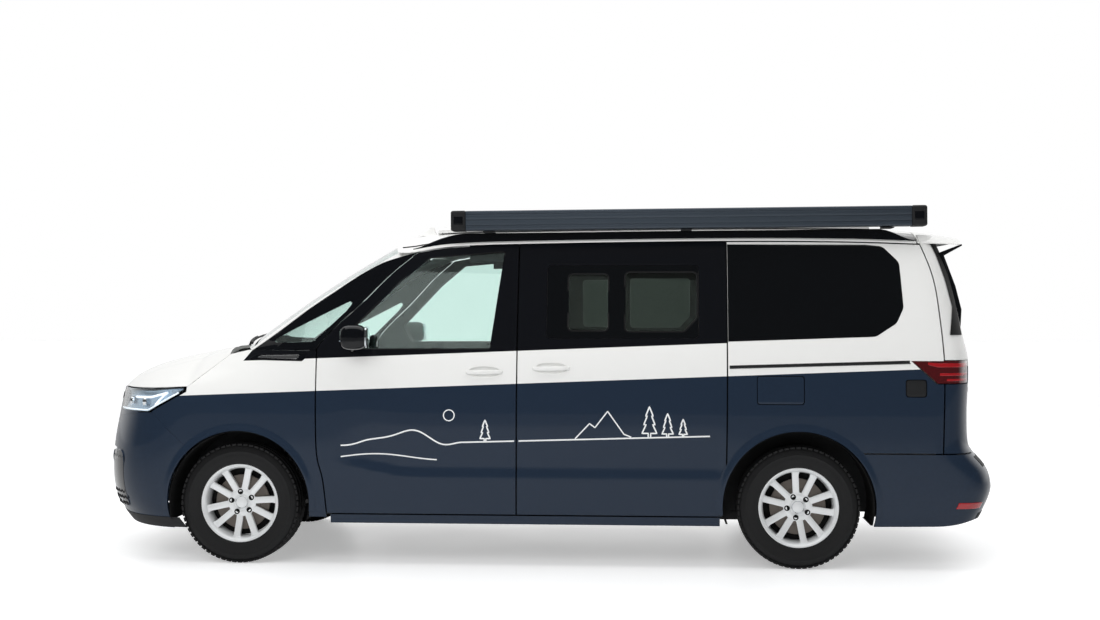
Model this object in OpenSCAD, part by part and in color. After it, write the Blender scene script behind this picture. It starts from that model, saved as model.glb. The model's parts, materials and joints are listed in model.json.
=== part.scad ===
/* [Overall] */
// Distance between the front and rear axles
wheelbase = 3124; // [3090:1:3160]
// Front bumper's tip ahead of the front axle
front_overhang = 941; // [925:1:960]
// Rear bumper's tip behind the rear axle
rear_overhang = 1108; // [1095:1:1130]
// Width of the body at its widest, without the mirrors
body_w = 1941; // [1920:1:1960]

/* [Body heights] */
// Underside of the sills above the ground
sill_z = 236; // [225:1:245]
// Lower edge of the doors
door_low_z = 292; // [286:1:300]
// Lower edge of the side windows
belt_z = 1208; // [1200:1:1216]
// Upper edge of the doors at the middle post
door_top_z = 1797; // [1790:1:1804]
// Rise of the roof's centre above the doors' upper edge
roof_rise = 105; // [95:1:115]
// Front bumper's lower edge above the ground
bumper_z = 196; // [190:1:205]

/* [Body panels] */
// Thickness of the side doors, inner lining included
door_t = 62; // [55:1:68]
// Thickness of the outer wings and bumpers
skin_t = 22; // [18:1:26]
// Thickness of the rear side walls
wall_t = 60; // [52:1:66]
// Thickness of the window panes
glass_t = 5; // [4:0.5:6]
// Width of the shut lines round all doors and lids
gap = 8; // [7:0.5:9]
// Radius of the front wheel arches
front_arch_r = 408; // [400:1:415]
// Radius of the rear wheel arches
rear_arch_r = 420; // [410:1:428]

/* [Wheels] */
// Outer radius of the tyres
tyre_r = 338; // [330:1:342]
// Width of the tyres
tyre_w = 215; // [205:1:225]
// Radius of the rims at their outer flange
rim_r = 221; // [216:1:226]
// Distance between the centre planes of the left and right wheels
track = 1652; // [1640:1:1660]
// Number of spoke pairs in each rim
spoke_pairs = 5; // [4:1:6]
// Radius of the circle that the wheel bolts stand on
bolt_circle_r = 56; // [54:1:60]
// Radius of the brake discs
disc_r = 155; // [145:1:162]

/* [Roof] */
// Half width of the pop-up roof
pop_half_w = 600; // [580:1:610]
// Height of the pop-up roof's shell
pop_h = 72; // [65:1:80]
// Length of the awning case without its end caps
awning_l = 2468; // [2400:1:2500]
// Height of the awning case
awning_h = 116; // [108:1:122]
// Depth of the awning case, from the roof outwards
awning_d = 118; // [110:1:124]

/* [Cabin] */
// Height of the cabin floor's upper face
floor_z = 330; // [320:1:340]
// Radius of the steering wheel
steering_r = 188; // [180:1:195]
// Width of each front seat
seat_w = 500; // [480:1:520]
// Distance of the front seats from the centre plane
seat_y = 430; // [420:1:440]

/* [Hidden] */
$fn = 48;
half_w = body_w / 2;
length = front_overhang + wheelbase + rear_overhang;
nose_x = -length / 2;
tail_x = length / 2;
front_axle_x = nose_x + front_overhang;
rear_axle_x = tail_x - rear_overhang;
wheel_y = track / 2;
clear = 0.3;
seal = 0.8;
tail_shut_x = rear_axle_x + 672;

// Shut lines between the panels, as distances from the axles
b_post_x = front_axle_x + 1568;
c_post_x = rear_axle_x - 390;
nose_round = 620;
nose_power = 2.3;
tail_round = 312;
tail_power = 4;

// Smooth curve through key points [position, value]
function seg(keys, v, i = 0) = i >= len(keys) - 2 || v < keys[i + 1][0] ? i : seg(keys, v, i + 1);
function slope(keys, a, b) = (keys[b][1] - keys[a][1]) / (keys[b][0] - keys[a][0]);
function tangent(keys, i) = slope(keys, max(0, i - 1), min(len(keys) - 1, i + 1));
function curve(keys, v) = let (
    i = seg(keys, v),
    h = keys[i + 1][0] - keys[i][0],
    u = min(1, max(0, (v - keys[i][0]) / h)),
    m0 = tangent(keys, i) * h,
    m1 = tangent(keys, i + 1) * h
) (2 * u ^ 3 - 3 * u ^ 2 + 1) * keys[i][1] + (u ^ 3 - 2 * u ^ 2 + u) * m0
    + (3 * u ^ 2 - 2 * u ^ 3) * keys[i + 1][1] + (u ^ 3 - u ^ 2) * m1;
function mix(a, b, u) = a + (b - a) * u;

// Half width of the body's side at height z, before its plan is rounded
side_keys = [[sill_z - 50, half_w - 40], [sill_z, half_w - 27], [sill_z + 90, half_w - 13],
             [560, half_w - 2], [780, half_w], [960, half_w - 6], [1100, half_w - 18],
             [belt_z, half_w - 34], [1330, half_w - 60], [1480, half_w - 95],
             [1640, half_w - 138], [1760, half_w - 178], [door_top_z + 20, half_w - 206]];
// Foremost and rearmost points of the body at height z
nose_keys = [[bumper_z - 10, nose_x + 122], [260, nose_x + 68], [360, nose_x + 18], [480, nose_x],
             [640, nose_x + 8], [800, nose_x + 36], [980, nose_x + 76], [1250, nose_x + 160]];
tail_keys = [[sill_z - 10, tail_x - 92], [330, tail_x - 40], [400, tail_x - 10], [460, tail_x],
             [550, tail_x - 26], [640, tail_x - 100], [680, tail_x - 124], [840, tail_x - 132],
             [1150, tail_x - 122], [1300, tail_x - 150], [1500, tail_x - 186],
             [1700, tail_x - 236], [door_top_z + 60, tail_x - 300]];

function rounded(u, p) = u <= 0 ? 1 : u >= 1 ? 0 : (1 - u ^ p) ^ (1 / p);
function shoulder(x, z) = let (
    u = max(0, front_axle_x + 395 - x) / 477,
    v = max(0, z - 900)
) 0.0016 * u ^ 1.5 * v ^ 2;
function side_y(x, z) = (curve(side_keys, z) - shoulder(x, z))
    * rounded((curve(nose_keys, z) + nose_round - x) / nose_round, nose_power)
    * rounded((x - curve(tail_keys, z) + tail_round) / tail_round, tail_power);

// Point on the rounded nose at height z: s runs from -1 at the left arch to 1 at the right
function nose_pt(s, z, t = 0) = let (
    m = min(1, abs(s) / 0.88),
    ext = max(0, abs(s) - 0.88) / 0.12,
    w = curve(side_keys, z) - t,
    x0 = curve(nose_keys, z) + t,
    l = nose_round - t,
    e = 2 / nose_power
) [x0 + l * (1 - cos(90 * m) ^ e) + 110 * ext, sign(s) * w * sin(90 * m) ^ e, z];

// Point on the rounded tail at height z: s runs from -1 on the left to 1 on the right
function tail_pt(s, z, t = 0) = let (
    m = min(1, abs(s) / 0.9),
    ext = max(0, abs(s) - 0.9) / 0.1,
    w = curve(side_keys, z) - t,
    x0 = curve(tail_keys, z) - t,
    l = tail_round - t,
    e = 2 / tail_power
) [x0 - l * (1 - cos(90 * m) ^ e) - 500 * ext, sign(s) * w * sin(90 * m) ^ e, z];

// Upper edge of the doors and the black window band along the body
cantrail_keys = [[b_post_x - 620, door_top_z - 52], [b_post_x - 400, door_top_z - 16],
                 [b_post_x, door_top_z], [c_post_x, door_top_z + 14],
                 [rear_axle_x + 300, door_top_z + 8], [rear_axle_x + 700, door_top_z - 6]];
function cantrail(x) = curve(cantrail_keys, x);

// Centre height of the roof, and its height at any point
roof_keys = [[front_axle_x + 740, door_top_z + 10], [front_axle_x + 870, door_top_z + 50],
             [front_axle_x + 1090, door_top_z + roof_rise - 18],
             [front_axle_x + 1550, door_top_z + roof_rise],
             [rear_axle_x - 100, door_top_z + roof_rise + 12],
             [rear_axle_x + 520, door_top_z + roof_rise - 4],
             [rear_axle_x + 800, door_top_z + roof_rise - 34]];
function roof_edge_y(x) = side_y(x, cantrail(x)) - 2;
function roof_pt_z(x, y) = let (
    edge = cantrail(x) + gap + 4,
    top = max(edge + 10, curve(roof_keys, x))
) top - (top - edge) * min(1, abs(y) / roof_edge_y(x)) ^ 5;

// Bonnet: front edge on the nose at the lamps' upper edge, rear edge below the windscreen
bonnet_front_z = 984;
bonnet_side_x = front_axle_x - 314;
bonnet_rear_x = front_axle_x - 84;
bonnet_rear_y = half_w - 170.5;
bonnet_front_y = half_w - 70.5;
bonnet_t = 26;
bonnet_keys = [[nose_x + 60, bonnet_front_z - 4], [nose_x + 110, 1018], [nose_x + 190, 1068],
               [nose_x + 300, 1112], [nose_x + 450, 1152], [nose_x + 600, 1182],
               [nose_x + 750, 1206], [nose_x + 900, 1226], [nose_x + 980, 1236]];
function front_edge_x(y) = let (u = min(1, abs(y) / curve(side_keys, bonnet_front_z)))
    curve(nose_keys, bonnet_front_z) + nose_round * (1 - rounded(u, nose_power));
function bonnet_edge_y(x) = x < bonnet_side_x ? side_y(x, bonnet_front_z)
    : mix(side_y(bonnet_side_x, bonnet_front_z + 14), bonnet_rear_y,
          (x - bonnet_side_x) / (bonnet_rear_x - bonnet_side_x));
function bonnet_edge_z(x) = x < bonnet_side_x ? bonnet_front_z
    + 14 * max(0, (x - nose_x - 200) / (bonnet_side_x - nose_x - 200)) ^ 2
    : mix(bonnet_front_z + 14, belt_z - 18,
          (x - bonnet_side_x) / (bonnet_rear_x - bonnet_side_x));
function bonnet_z(x, y) = let (
    top = curve(bonnet_keys, x),
    edge = bonnet_edge_z(min(x, bonnet_rear_x)),
    p = 3.2 + 4 * max(0, (x - bonnet_side_x) / 230)
) top - (top - edge) * min(1, abs(y) / max(1, bonnet_edge_y(min(x, bonnet_rear_x)))) ^ p;

screen_low_y = half_w - 228.5;
screen_top_y = half_w - 342.5;
// Windscreen: u from the cowl to the header, s across
function screen_pt(s, u, t = 0) = let (
    x0 = front_axle_x + 12 - 135 * (1 - s ^ 2),
    x1 = front_axle_x + 868 - 88 * (1 - s ^ 2),
    z0 = belt_z - 8 + 22 * (1 - s ^ 2),
    z1 = door_top_z - 32 + 62 * (1 - s ^ 2),
    bulge = 22 * sin(180 * u)
) [mix(x0, x1, u) - bulge * 0.55 + t * 0.55,
    s * mix(screen_low_y, screen_top_y, u),
    mix(z0, z1, u) + bulge * 0.8 - t * 0.8];

// Closed solid between an outer and an inner grid of points
module slab(outer, inner) {
    rows = len(outer);
    cols = len(outer[0]);
    n = rows * cols;
    points = concat([for (row = outer) each row], [for (row = inner) each row]);
    skin = [for (i = [0:rows - 2], j = [0:cols - 2])
        let (a = i * cols + j, b = a + 1, d = a + cols, c = d + 1) each [[a, b, c], [a, c, d]]];
    lining = [for (f = skin) [f[0] + n, f[2] + n, f[1] + n]];
    low = [for (i = [0:rows - 2]) let (a = i * cols, d = a + cols) each [[a, d, d + n], [a, d + n, a + n]]];
    high = [for (i = [0:rows - 2]) let (b = i * cols + cols - 1, c = b + cols)
        each [[c, b, b + n], [c, b + n, c + n]]];
    start = [for (j = [0:cols - 2]) let (a = j, b = a + 1) each [[b, a, a + n], [b, a + n, b + n]]];
    end = [for (j = [0:cols - 2]) let (d = (rows - 1) * cols + j, c = d + 1)
        each [[d, c, c + n], [d, c + n, d + n]]];
    polyhedron(points, concat(skin, lining, low, high, start, end), convexity = 8);
}

// Grid of points f(u, v) for u and v from 0 to 1
function grid(f, nu, nv) = [for (i = [0:nu]) [for (j = [0:nv]) f(i / nu, j / nv)]];

// Piece of the left side between two shut lines, each a function of the height
module side_slab(front, rear, low, high, depth, thick, nu, nv) {
    place = function (u, v, t) let (
        z = mix(low, high(u), v),
        x = mix(front(z), rear(z), u)
    ) [x, -side_y(x, z) + t, z];
    slab(grid(function (u, v) place(u, v, depth), nu, nv),
         grid(function (u, v) place(u, v, depth + thick), nu, nv));
}

// Straight prism through the body's side, drawn in x and z
module side_cut(points, round_r = 0, shrink = 0) {
    translate([0, -half_w + 260, 0]) rotate([90, 0, 0]) linear_extrude(height = 330)
        offset(delta = -shrink) offset(r = round_r) offset(delta = -round_r) polygon(points);
}

module both_sides() {
    children();
    mirror([0, 1, 0]) children();
}

module arch_cut(x, r) {
    translate([x, 0, tyre_r + 6]) rotate([90, 0, 0]) cylinder(h = 2 * body_w, r = r, center = true, $fn = 96);
}

// Shut lines of the left side
function door_front(z) = curve([[door_low_z - 60, front_axle_x + 512], [480, front_axle_x + 486],
    [600, front_axle_x + 456], [780, front_axle_x + 447], [1165, front_axle_x + 447],
    [belt_z + 14, front_axle_x + 452], [1323, front_axle_x + 538], [1464, front_axle_x + 690],
    [1640, front_axle_x + 862], [1756, front_axle_x + 1002]], z);
function b_post(z) = b_post_x + 5 * (z - door_low_z) / (door_top_z - door_low_z);
function c_post(z) = c_post_x - 12 * min(1, max(0, (belt_z - z) / 900)) ^ 2;
function rear_shut(z) = curve([[620, rear_axle_x + 780], [1030, rear_axle_x + 790], [1156, rear_axle_x + 790],
    [1379, rear_axle_x + 776], [1607, rear_axle_x + 748], [door_top_z + 40, rear_axle_x + 672]], z);

door_window = [[front_axle_x + 690, belt_z + 4], [b_post_x - 150, belt_z + 6],
               [b_post_x - 78, door_top_z - 42], [front_axle_x + 1068, door_top_z - 78],
               [front_axle_x + 905, 1588], [front_axle_x + 742, 1424], [front_axle_x + 640, 1322]];
slide_window = [[b_post_x + 110, belt_z + 48], [c_post_x - 66, belt_z + 56],
                [c_post_x - 66, door_top_z - 44], [b_post_x + 110, door_top_z - 52]];
quarter_window = [[c_post_x + 60, belt_z + 84], [rear_axle_x + 400, belt_z + 98],
                  [rear_axle_x + 555, belt_z + 200], [rear_axle_x + 548, door_top_z - 122],
                  [rear_axle_x + 440, door_top_z - 34], [c_post_x + 60, door_top_z - 26]];
front_quarter = [[front_axle_x + 150, belt_z + 34], [front_axle_x + 420, belt_z + 40],
                 [front_axle_x + 600, 1420], [front_axle_x + 660, 1498]];

// Threaded sockets for the towing eyes, reached through the bumpers
front_tow = [nose_x + 66, 435, 700];
rear_tow = [tail_x - 16, 520, 430];
tow_r = 20;
tow_bore_r = 9;
tow_deep = 60;
floor_low = door_low_z - gap + clear;

// Strut under the lamp and stay under the bonnet, on the front cross member
module carrier() {
    foot = nose_x + 150;
    rest = bonnet_pt(1 / 9, 4 / 14, bonnet_t);
    translate([foot, -530, 340]) cube([60, 60, lamp_low - clear - 340]);
    translate([rest[0], rest[1], 400]) cylinder(h = rest[2] - 400 - 6 * seal, r = 6, $fn = 16);
}

frame_end = front_axle_x + 430;
rail_w = 70;
rail_y = 470;
// Front longitudinals and cross member with the front towing socket
module front_frame() {
    difference() {
        union() {
            both_sides() translate([nose_x + 150, -rail_y, 305 + clear])
                cube([frame_end - clear - nose_x - 150, rail_w, 110]);
            translate([nose_x + 150, -rail_y - 90, 340]) cube([60, 2 * rail_y + 180, 90]);
            translate([front_tow[0] + 84, front_tow[1] - 30, 400]) cube([60, 60, front_tow[2] - 370]);
            translate(front_tow) rotate([0, 90, 0]) cylinder(h = 130, r = tow_r);
            both_sides() carrier();
        }
        translate(front_tow) rotate([0, 90, 0]) cylinder(h = tow_deep, r = tow_bore_r);
    }
}

module wheel_space() {
    translate([rear_axle_x, -wheel_y - 400, tyre_r + 10]) rotate([-90, 0, 0])
        cylinder(h = 585, r = rear_arch_r - 4, $fn = 64);
}

// Housing over a rear wheel, standing on the floor
module wheel_house() {
    difference() {
        intersection() {
            translate([rear_axle_x, -wheel_y - 58, tyre_r + 10]) rotate([-90, 0, 0])
                cylinder(h = 268, r = rear_arch_r + 10, $fn = 64);
            translate([rear_axle_x - 500, -body_w, floor_z + clear]) cube([1000, body_w, 800]);
        }
        wheel_space();
    }
}

module floor_pan() {
    color("#2a2d31") {
        difference() {
            union() {
                translate([frame_end, -half_w + 122, floor_low])
                    cube([tail_x - 170 - frame_end, body_w - 244, floor_z - floor_low]);
                both_sides() translate([front_axle_x + 540, -half_w + 166, floor_z - 90])
                    cube([wheelbase - 540 - rear_arch_r - 20, 90, 60]);
                translate([rear_tow[0] - 200, rear_tow[1] - 30, floor_low])
                    cube([60, 60, rear_tow[2] + 30 - floor_low]);
                translate(rear_tow) rotate([0, -90, 0]) cylinder(h = 160, r = tow_r);
                both_sides() translate([tail_x - 190, -320, floor_low])
                    cube([curve(tail_keys, floor_low) - skin_t - 3 * seal - tail_x + 190, 40, 8]);
            }
            translate(rear_tow) rotate([0, -90, 0]) cylinder(h = tow_deep, r = tow_bore_r);
            both_sides() wheel_space();
        }
        both_sides() wheel_house();
        front_frame();
    }
}

module engine() {
    color("#3a3d40") translate([front_axle_x - 420, -360, 305 + clear]) cube([560, 720, 500]);
}

module front_subframe() {
    color("#303236") {
        translate([front_axle_x - 120, -440, 245]) cube([330, 880, 60]);
        both_sides() {
            translate([front_axle_x - 45, -wheel_y + 190, 225]) cube([110, 230, 34]);
            translate([front_axle_x - 24, -wheel_y + 78, 225]) cube([48, 130, 34]);
            translate([front_axle_x, -wheel_y + 78, 225]) cylinder(h = 34, r = 24);
        }
    }
}

module rear_axle() {
    color("#303236") {
        translate([rear_axle_x, 0, 252]) rotate([90, 0, 0]) cylinder(h = 1400, r = 32, center = true);
        both_sides() {
            translate([rear_axle_x - 420, -600, 228]) cube([420, 60, 48]);
            translate([rear_axle_x - 420, -600, 228]) cube([60, 60, floor_low - clear - 228]);
            translate([rear_axle_x - 45, -wheel_y + 116, 226]) cube([90, 46, 150]);
            translate([rear_axle_x, -wheel_y + 118, tyre_r]) rotate([90, 0, 0]) cylinder(h = 112, r = 29.95);
        }
    }
}

wing_tip = [front_axle_x - 508, 852];
wing_foot = [front_axle_x - 285, 648];
bumper_rows = [bumper_z, 250, 320, 400, 480, 560, 650, 750, 850];
module front_bumper() {
    color("#26384a") difference() {
        slab([for (z = bumper_rows) [for (j = [0:20]) nose_pt(j / 10 - 1, z)]],
             [for (z = bumper_rows) [for (j = [0:20]) nose_pt(j / 10 - 1, z, skin_t)]]);
        arch_cut(front_axle_x, front_arch_r);
        translate([0, body_w, 0]) rotate([90, 0, 0]) linear_extrude(height = 2 * body_w)
            polygon([wing_tip, wing_foot, [front_axle_x, wing_foot[1]],
                     [front_axle_x, 900], [wing_tip[0], 900]]);
        translate([nose_x - 10, 0, 0]) rotate([90, 0, 90]) linear_extrude(height = 400) grille_outline();
        translate(front_tow - [200, 0, 0]) rotate([0, 90, 0]) cylinder(h = 400, r = tow_r + 4);
        nose_gap();
    }
}

module nose_gap() {
    place = function (u, s, t) nose_pt(s, nose_line(s) + 200 * u, t);
    slab(grid(function (u, v) place(u, mix(-0.99, 0.99, v), -20), 1, 24),
         grid(function (u, v) place(u, mix(-0.99, 0.99, v), 60), 1, 24));
}

function nose_line(s) = 792 + 54 * min(1, abs(s) / 0.62) ^ 2;
lamp_low = 851;
lamp_in = 0.34;
lamp_out = 0.835;
lamp_turn = 0.694;
module nose_panel() {
    spots = concat([for (i = [0:4]) [mix(-0.6, -lamp_in + 0.004, i / 4), lamp_low - seal]],
                   [for (i = [0:8]) [mix(-lamp_in + 0.018, lamp_in - 0.018, i / 8), bonnet_front_z - gap]],
                   [for (i = [0:4]) [mix(lamp_in - 0.004, 0.6, i / 4), lamp_low - seal]]);
    place = function (i, v, t) nose_pt(spots[i][0], mix(nose_line(spots[i][0]) + seal, spots[i][1], v), t);
    color("#26384a") slab([for (j = [0:4]) [for (i = [0:len(spots) - 1]) place(i, j / 4, 0)]],
                          [for (j = [0:4]) [for (i = [0:len(spots) - 1]) place(i, j / 4, skin_t)]]);
}

grille_y = half_w - 320.5;
module grille_outline() {
    offset(r = 50) polygon([[-grille_y, 340], [grille_y, 340], [grille_y + 20, 580], [-grille_y - 20, 580]]);
}
module grille() {
    rows = [280, 320, 400, 480, 560, 650];
    color("#15171a") intersection() {
        slab([for (z = rows) [for (j = [0:16]) nose_pt(mix(-0.75, 0.75, j / 16), z)]],
             [for (z = rows) [for (j = [0:16]) nose_pt(mix(-0.75, 0.75, j / 16), z, 26)]]);
        translate([nose_x - 10, 0, 0]) rotate([90, 0, 90]) linear_extrude(height = 400)
            offset(delta = -clear) grille_outline();
    }
}

module headlamps() {
    place = function (i, v, t) let (
        s = i <= 6 ? mix(lamp_in, lamp_turn, i / 6) : mix(lamp_turn, lamp_out, (i - 6) / 4),
        low = mix(lamp_low, bonnet_front_z - 4, max(0, (nose_pt(s, 930)[0] - front_axle_x + 516) / 198)),
        high = bonnet_front_z - gap + 12 * ((s - lamp_in) / (lamp_out - lamp_in)) ^ 2,
        turn = min(1, (s - lamp_in) / (lamp_turn - lamp_in))
    ) nose_pt(-s, mix(low, high, v), 1) + t * [1 - turn, 0.7 * turn, 0];
    color("#cfd8dc") both_sides()
        slab([for (j = [0:4]) [for (i = [0:10]) place(10 - i, j / 4, 0)]],
             [for (j = [0:4]) [for (i = [0:10]) place(10 - i, j / 4, 80)]]);
}

module front_wings() {
    outline = [wing_tip + [seal, 0], [front_axle_x - 298, 966], [front_axle_x - 296, bonnet_front_z + 8],
               [bonnet_rear_x + 6, belt_z - 32], [front_axle_x + 30, belt_z - 8],
               [front_axle_x + 600, belt_z - 8], [front_axle_x + 600, door_low_z - 20],
               [front_axle_x + 380, sill_z], [front_axle_x, wing_foot[1] + seal], wing_foot + [seal, seal]];
    color("#f2f2f0") both_sides() difference() {
        intersection() {
            side_slab(function (z) front_axle_x - 520, function (z) door_front(z) - gap,
                      door_low_z - 22, function (u) belt_z - 8, 0, skin_t, 10, 9);
            side_cut(outline);
        }
        arch_cut(front_axle_x, front_arch_r);
    }
}

module side_frames() {
    color("#1c1e20") both_sides() difference() { union() {
        side_slab(function (z) front_axle_x + 524, function (z) rear_axle_x - rear_arch_r - 12,
                  sill_z, function (u) door_low_z - gap, 4, 110, 6, 1);
        for (post = [function (z) b_post(z), function (z) c_post(z)]) {
            side_slab(function (z) post(z) - 55, function (z) post(z) + 55,
                      door_low_z - gap - 8, function (u) door_top_z - 85, door_t + post_gap, 36, 1, 12);
            side_slab(function (z) post(z) - 45, function (z) post(z) + 45,
                      door_top_z - 240, function (u) door_top_z - 60, door_t + 24, 50, 1, 4);
            side_slab(function (z) post(z) - 40, function (z) post(z) + 40,
                      striker_z, function (u) striker_z + 40, door_t + seal, 20, 1, 1);
        }
        side_slab(function (z) c_post(z) + 10, function (z) c_post(z) + 50,
                  striker_z + 30, function (u) striker_z + 50, wall_t + seal, 22, 1, 1);
        side_slab(function (z) door_front(z) - 60, function (z) door_front(z) + 24,
                  door_low_z - gap - 8, function (u) belt_z - 30, door_t + post_gap, 36, 1, 8);
        side_slab(function (z) door_front(z) - 20, function (z) door_front(z) + 20,
                  striker_z, function (u) striker_z + 40, door_t + seal, 20, 1, 1);
        side_slab(function (z) door_front(z) - 58, function (z) door_front(z) - 12,
                  striker_z - 20, function (u) striker_z, skin_t + seal, 70, 1, 1);
        side_slab(function (z) door_front(z) - 58, function (z) door_front(z) - gap,
                  belt_z - 60, function (u) belt_z + 20, skin_t + 14, 50, 1, 1);
        side_slab(function (z) door_front(z) - 58, function (z) door_front(z) - gap,
                  belt_z + 4, function (u) belt_z + 50, 15.4, 56, 1, 1);
        rail();
        }
        arch_cut(rear_axle_x, rear_arch_r + 14);
    }
    color("#101214") both_sides() quarter_panel();
}
post_gap = 2.4;
post_t = 26;
striker_z = 808;

// Rail below the roof's edge, inside the doors' upper edges, its top parallel to the roof's lining
module rail() {
    top = [for (i = [2:roof_rows]) let (
        a = roof_pt(i / roof_rows, 2 / roof_cols, 1) - [0, 0, seal],
        b = roof_pt(i / roof_rows, 3 / roof_cols, 1) - [0, 0, seal]
    ) [mix(a, b, 0.25), b]];
    slab(top, [for (row = top) [for (q = row) [q[0], q[1], min(q[2] - 20, cantrail(q[0]) - 90)]]]);
}

// Lower edge of the windscreen pillar's painted face, as a function of the height
function band_x(z) = curve([[belt_z - 10, front_axle_x + 52], [1326, front_axle_x + 235],
    [1515, front_axle_x + 505], [1688, front_axle_x + 779], [door_top_z - 36, front_axle_x + 1000]], z);

// Pillars from the wings to the roof on both sides of the windscreen
module windscreen_posts() {
    place = function (u, v, t) let (
        z = mix(belt_z - 8 + clear, door_top_z - 40, u),
        x = band_x(z),
        w = (x - band_x(belt_z - 8)) / (band_x(door_top_z - 40) - band_x(belt_z - 8)),
        edge = screen_pt(-1, w) + [0, -3, 0],
        drop = 0.5 * min(1, 8 * u, 8 * (1 - u))
    ) mix([x, -side_y(x, z), z], edge, v) + t * [0.3, mix(0.75, 0.49, v), -drop];
    color("#f2f2f0") both_sides()
        slab(grid(function (u, v) place(u, v, 0), 10, 2), grid(function (u, v) place(u, v, post_t), 10, 2));
}

// Black panel round the front quarter window, between the pillar and the door
module quarter_panel() {
    place = function (u, v, t) let (
        z = mix(belt_z + 2, door_top_z - 70, v),
        x = mix(band_x(z) + 4 + 1.8 * t, door_front(z) - gap, u)
    ) [x, -side_y(x, z) + t, z];
    difference() {
        slab(grid(function (u, v) place(u, v, 1), 3, 9), grid(function (u, v) place(u, v, 21), 3, 9));
        side_cut(front_quarter, 12);
    }
}

screen_out = 7;
screen_in = screen_out + glass_t + clear;
// Rows of points across the windscreen, from height a to height b of it, at the depth t
function screen_rows(a, b, t, n) = grid(function (u, v) screen_pt(mix(-0.985, 0.985, v), mix(a, b, u), t), n, 10);
module windscreen() {
    color("#8fb8ae", 0.4)
        slab(screen_rows(0.005, 0.99, screen_out, 6), screen_rows(0.005, 0.99, screen_out + glass_t, 6));
}

// Thickness of the roof, thin at its sides
function roof_t(s) = 36 * (1 - 0.8 * abs(s) ^ 8);
roof_rows = 14;
roof_cols = 16;
function roof_pt(u, v, t) = let (
    s = sin(mix(-90, 90, v)),
    x = mix(front_axle_x + 880 - 88 * (1 - s ^ 2), tail_shut_x - gap, u),
    y = s * roof_edge_y(x)
) [x, y, roof_pt_z(x, y) - t * roof_t(s)];
module roof() {
    color("#f2f2f0") difference() {
        slab(grid(function (u, v) roof_pt(u, v, 0), roof_rows, roof_cols),
             grid(function (u, v) roof_pt(u, v, 1), roof_rows, roof_cols));
        translate([pop_front_x + 188, -pop_half_w + 70, door_top_z - 60])
            cube([pop_rear_x - pop_front_x - 574, 2 * pop_half_w - 140, 260]);
    }
    color("#101214") pop_buffers();
}

pop_front_x = front_axle_x + 1080;
pop_rear_x = rear_axle_x + 430;
function pop_pt(u, v, t) = let (
    s = mix(-1, 1, v),
    x = mix(pop_front_x - 40 * (1 - s ^ 2), pop_rear_x + 20 * (1 - s ^ 2), u),
    y = s * (pop_half_w - 30 * (2 * u - 1) ^ 6),
    rim = min(1, 7 * u, 7 * (1 - u), 7 * v, 7 * (1 - v))
) [x, y, roof_pt_z(x, y) + gap + t * (0.25 + 0.75 * sin(90 * rim))];
module pop_top() {
    color("#f2f2f0") slab(grid(function (u, v) pop_pt(u, v, pop_h), 12, 10),
                          grid(function (u, v) pop_pt(u, v, 0), 12, 10));
}

// Rubber buffers on the roof that the closed pop-up roof rests on
module pop_buffers() {
    for (u = [1, 11], v = [1, 9])
        translate(pop_pt(u / 12, v / 10, 0) - [0, 0, gap + 6])
            cylinder(h = gap + 6 - 2 * seal, r = 6, $fn = 16);
}

module door_left() {
    color("#26384a") difference() {
        side_slab(function (z) door_front(z), function (z) b_post(z) - gap / 2,
                  door_low_z, function (u) cantrail(mix(front_axle_x + 1002, b_post_x, u)) - 3,
                  0, door_t, 8, 14);
        side_cut(door_window, 14);
    }
}

module door_right() {
    mirror([0, 1, 0]) door_left();
}

module pane(points, low, high, x0, x1, nu, nv, round_r, thick = glass_t) {
    intersection() {
        side_slab(function (z) x0, function (z) x1, low, function (u) high, 3, thick, nu, nv);
        side_cut(points, round_r, clear);
    }
}

module door_glass_left() {
    color("#8fb8ae", 0.4)
        pane(door_window, belt_z - 10, door_top_z - 20, front_axle_x + 600, b_post_x - 60, 5, 6, 14);
}

module door_glass_right() {
    mirror([0, 1, 0]) door_glass_left();
}

module sliding_doors() {
    color("#26384a") both_sides() difference() {
        side_slab(function (z) b_post(z) + gap / 2, function (z) c_post(z) - gap / 2,
                  door_low_z, function (u) cantrail(mix(b_post_x, c_post_x, u)) - 3, 0, door_t, 6, 14);
        side_cut(slide_window, 30);
        arch_cut(rear_axle_x, rear_arch_r + 4);
    }
}

module side_glass() {
    color("#15181b", 0.8) both_sides() {
        pane(slide_window, belt_z + 20, door_top_z, b_post_x + 90, c_post_x - 40, 2, 6, 30);
        pane(quarter_window, belt_z + 40, door_top_z, c_post_x + 40, rear_axle_x + 580, 4, 6, 30);
        pane(front_quarter, belt_z, door_top_z - 200, front_axle_x + 120, front_axle_x + 690, 3, 3, 12);
    }
}

module rear_quarter() {
    difference() {
        side_slab(function (z) c_post(z) + gap / 2, function (z) rear_shut(z) - gap,
                  560, function (u) cantrail(mix(c_post_x, tail_shut_x, u)) - 3, 0, wall_t, 9, 13);
        translate([rear_axle_x, -body_w, 500]) cube([1200, 2 * body_w, 138 + gap]);
        side_cut(quarter_window, 30);
        arch_cut(rear_axle_x, rear_arch_r);
        lamp_pocket();
    }
}
module rear_quarters() {
    color("#f2f2f0") {
        difference() {
            rear_quarter();
            difference() {
                fuel_pocket(gap / 2, 20);
                flap_rest(fuel_x, fuel_z, 260, 158);
            }
            difference() {
                socket_pocket(gap / 2, 20);
                flap_rest(socket_x, socket_z, 115, 97);
            }
        }
        mirror([0, 1, 0]) rear_quarter();
    }
}

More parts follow.
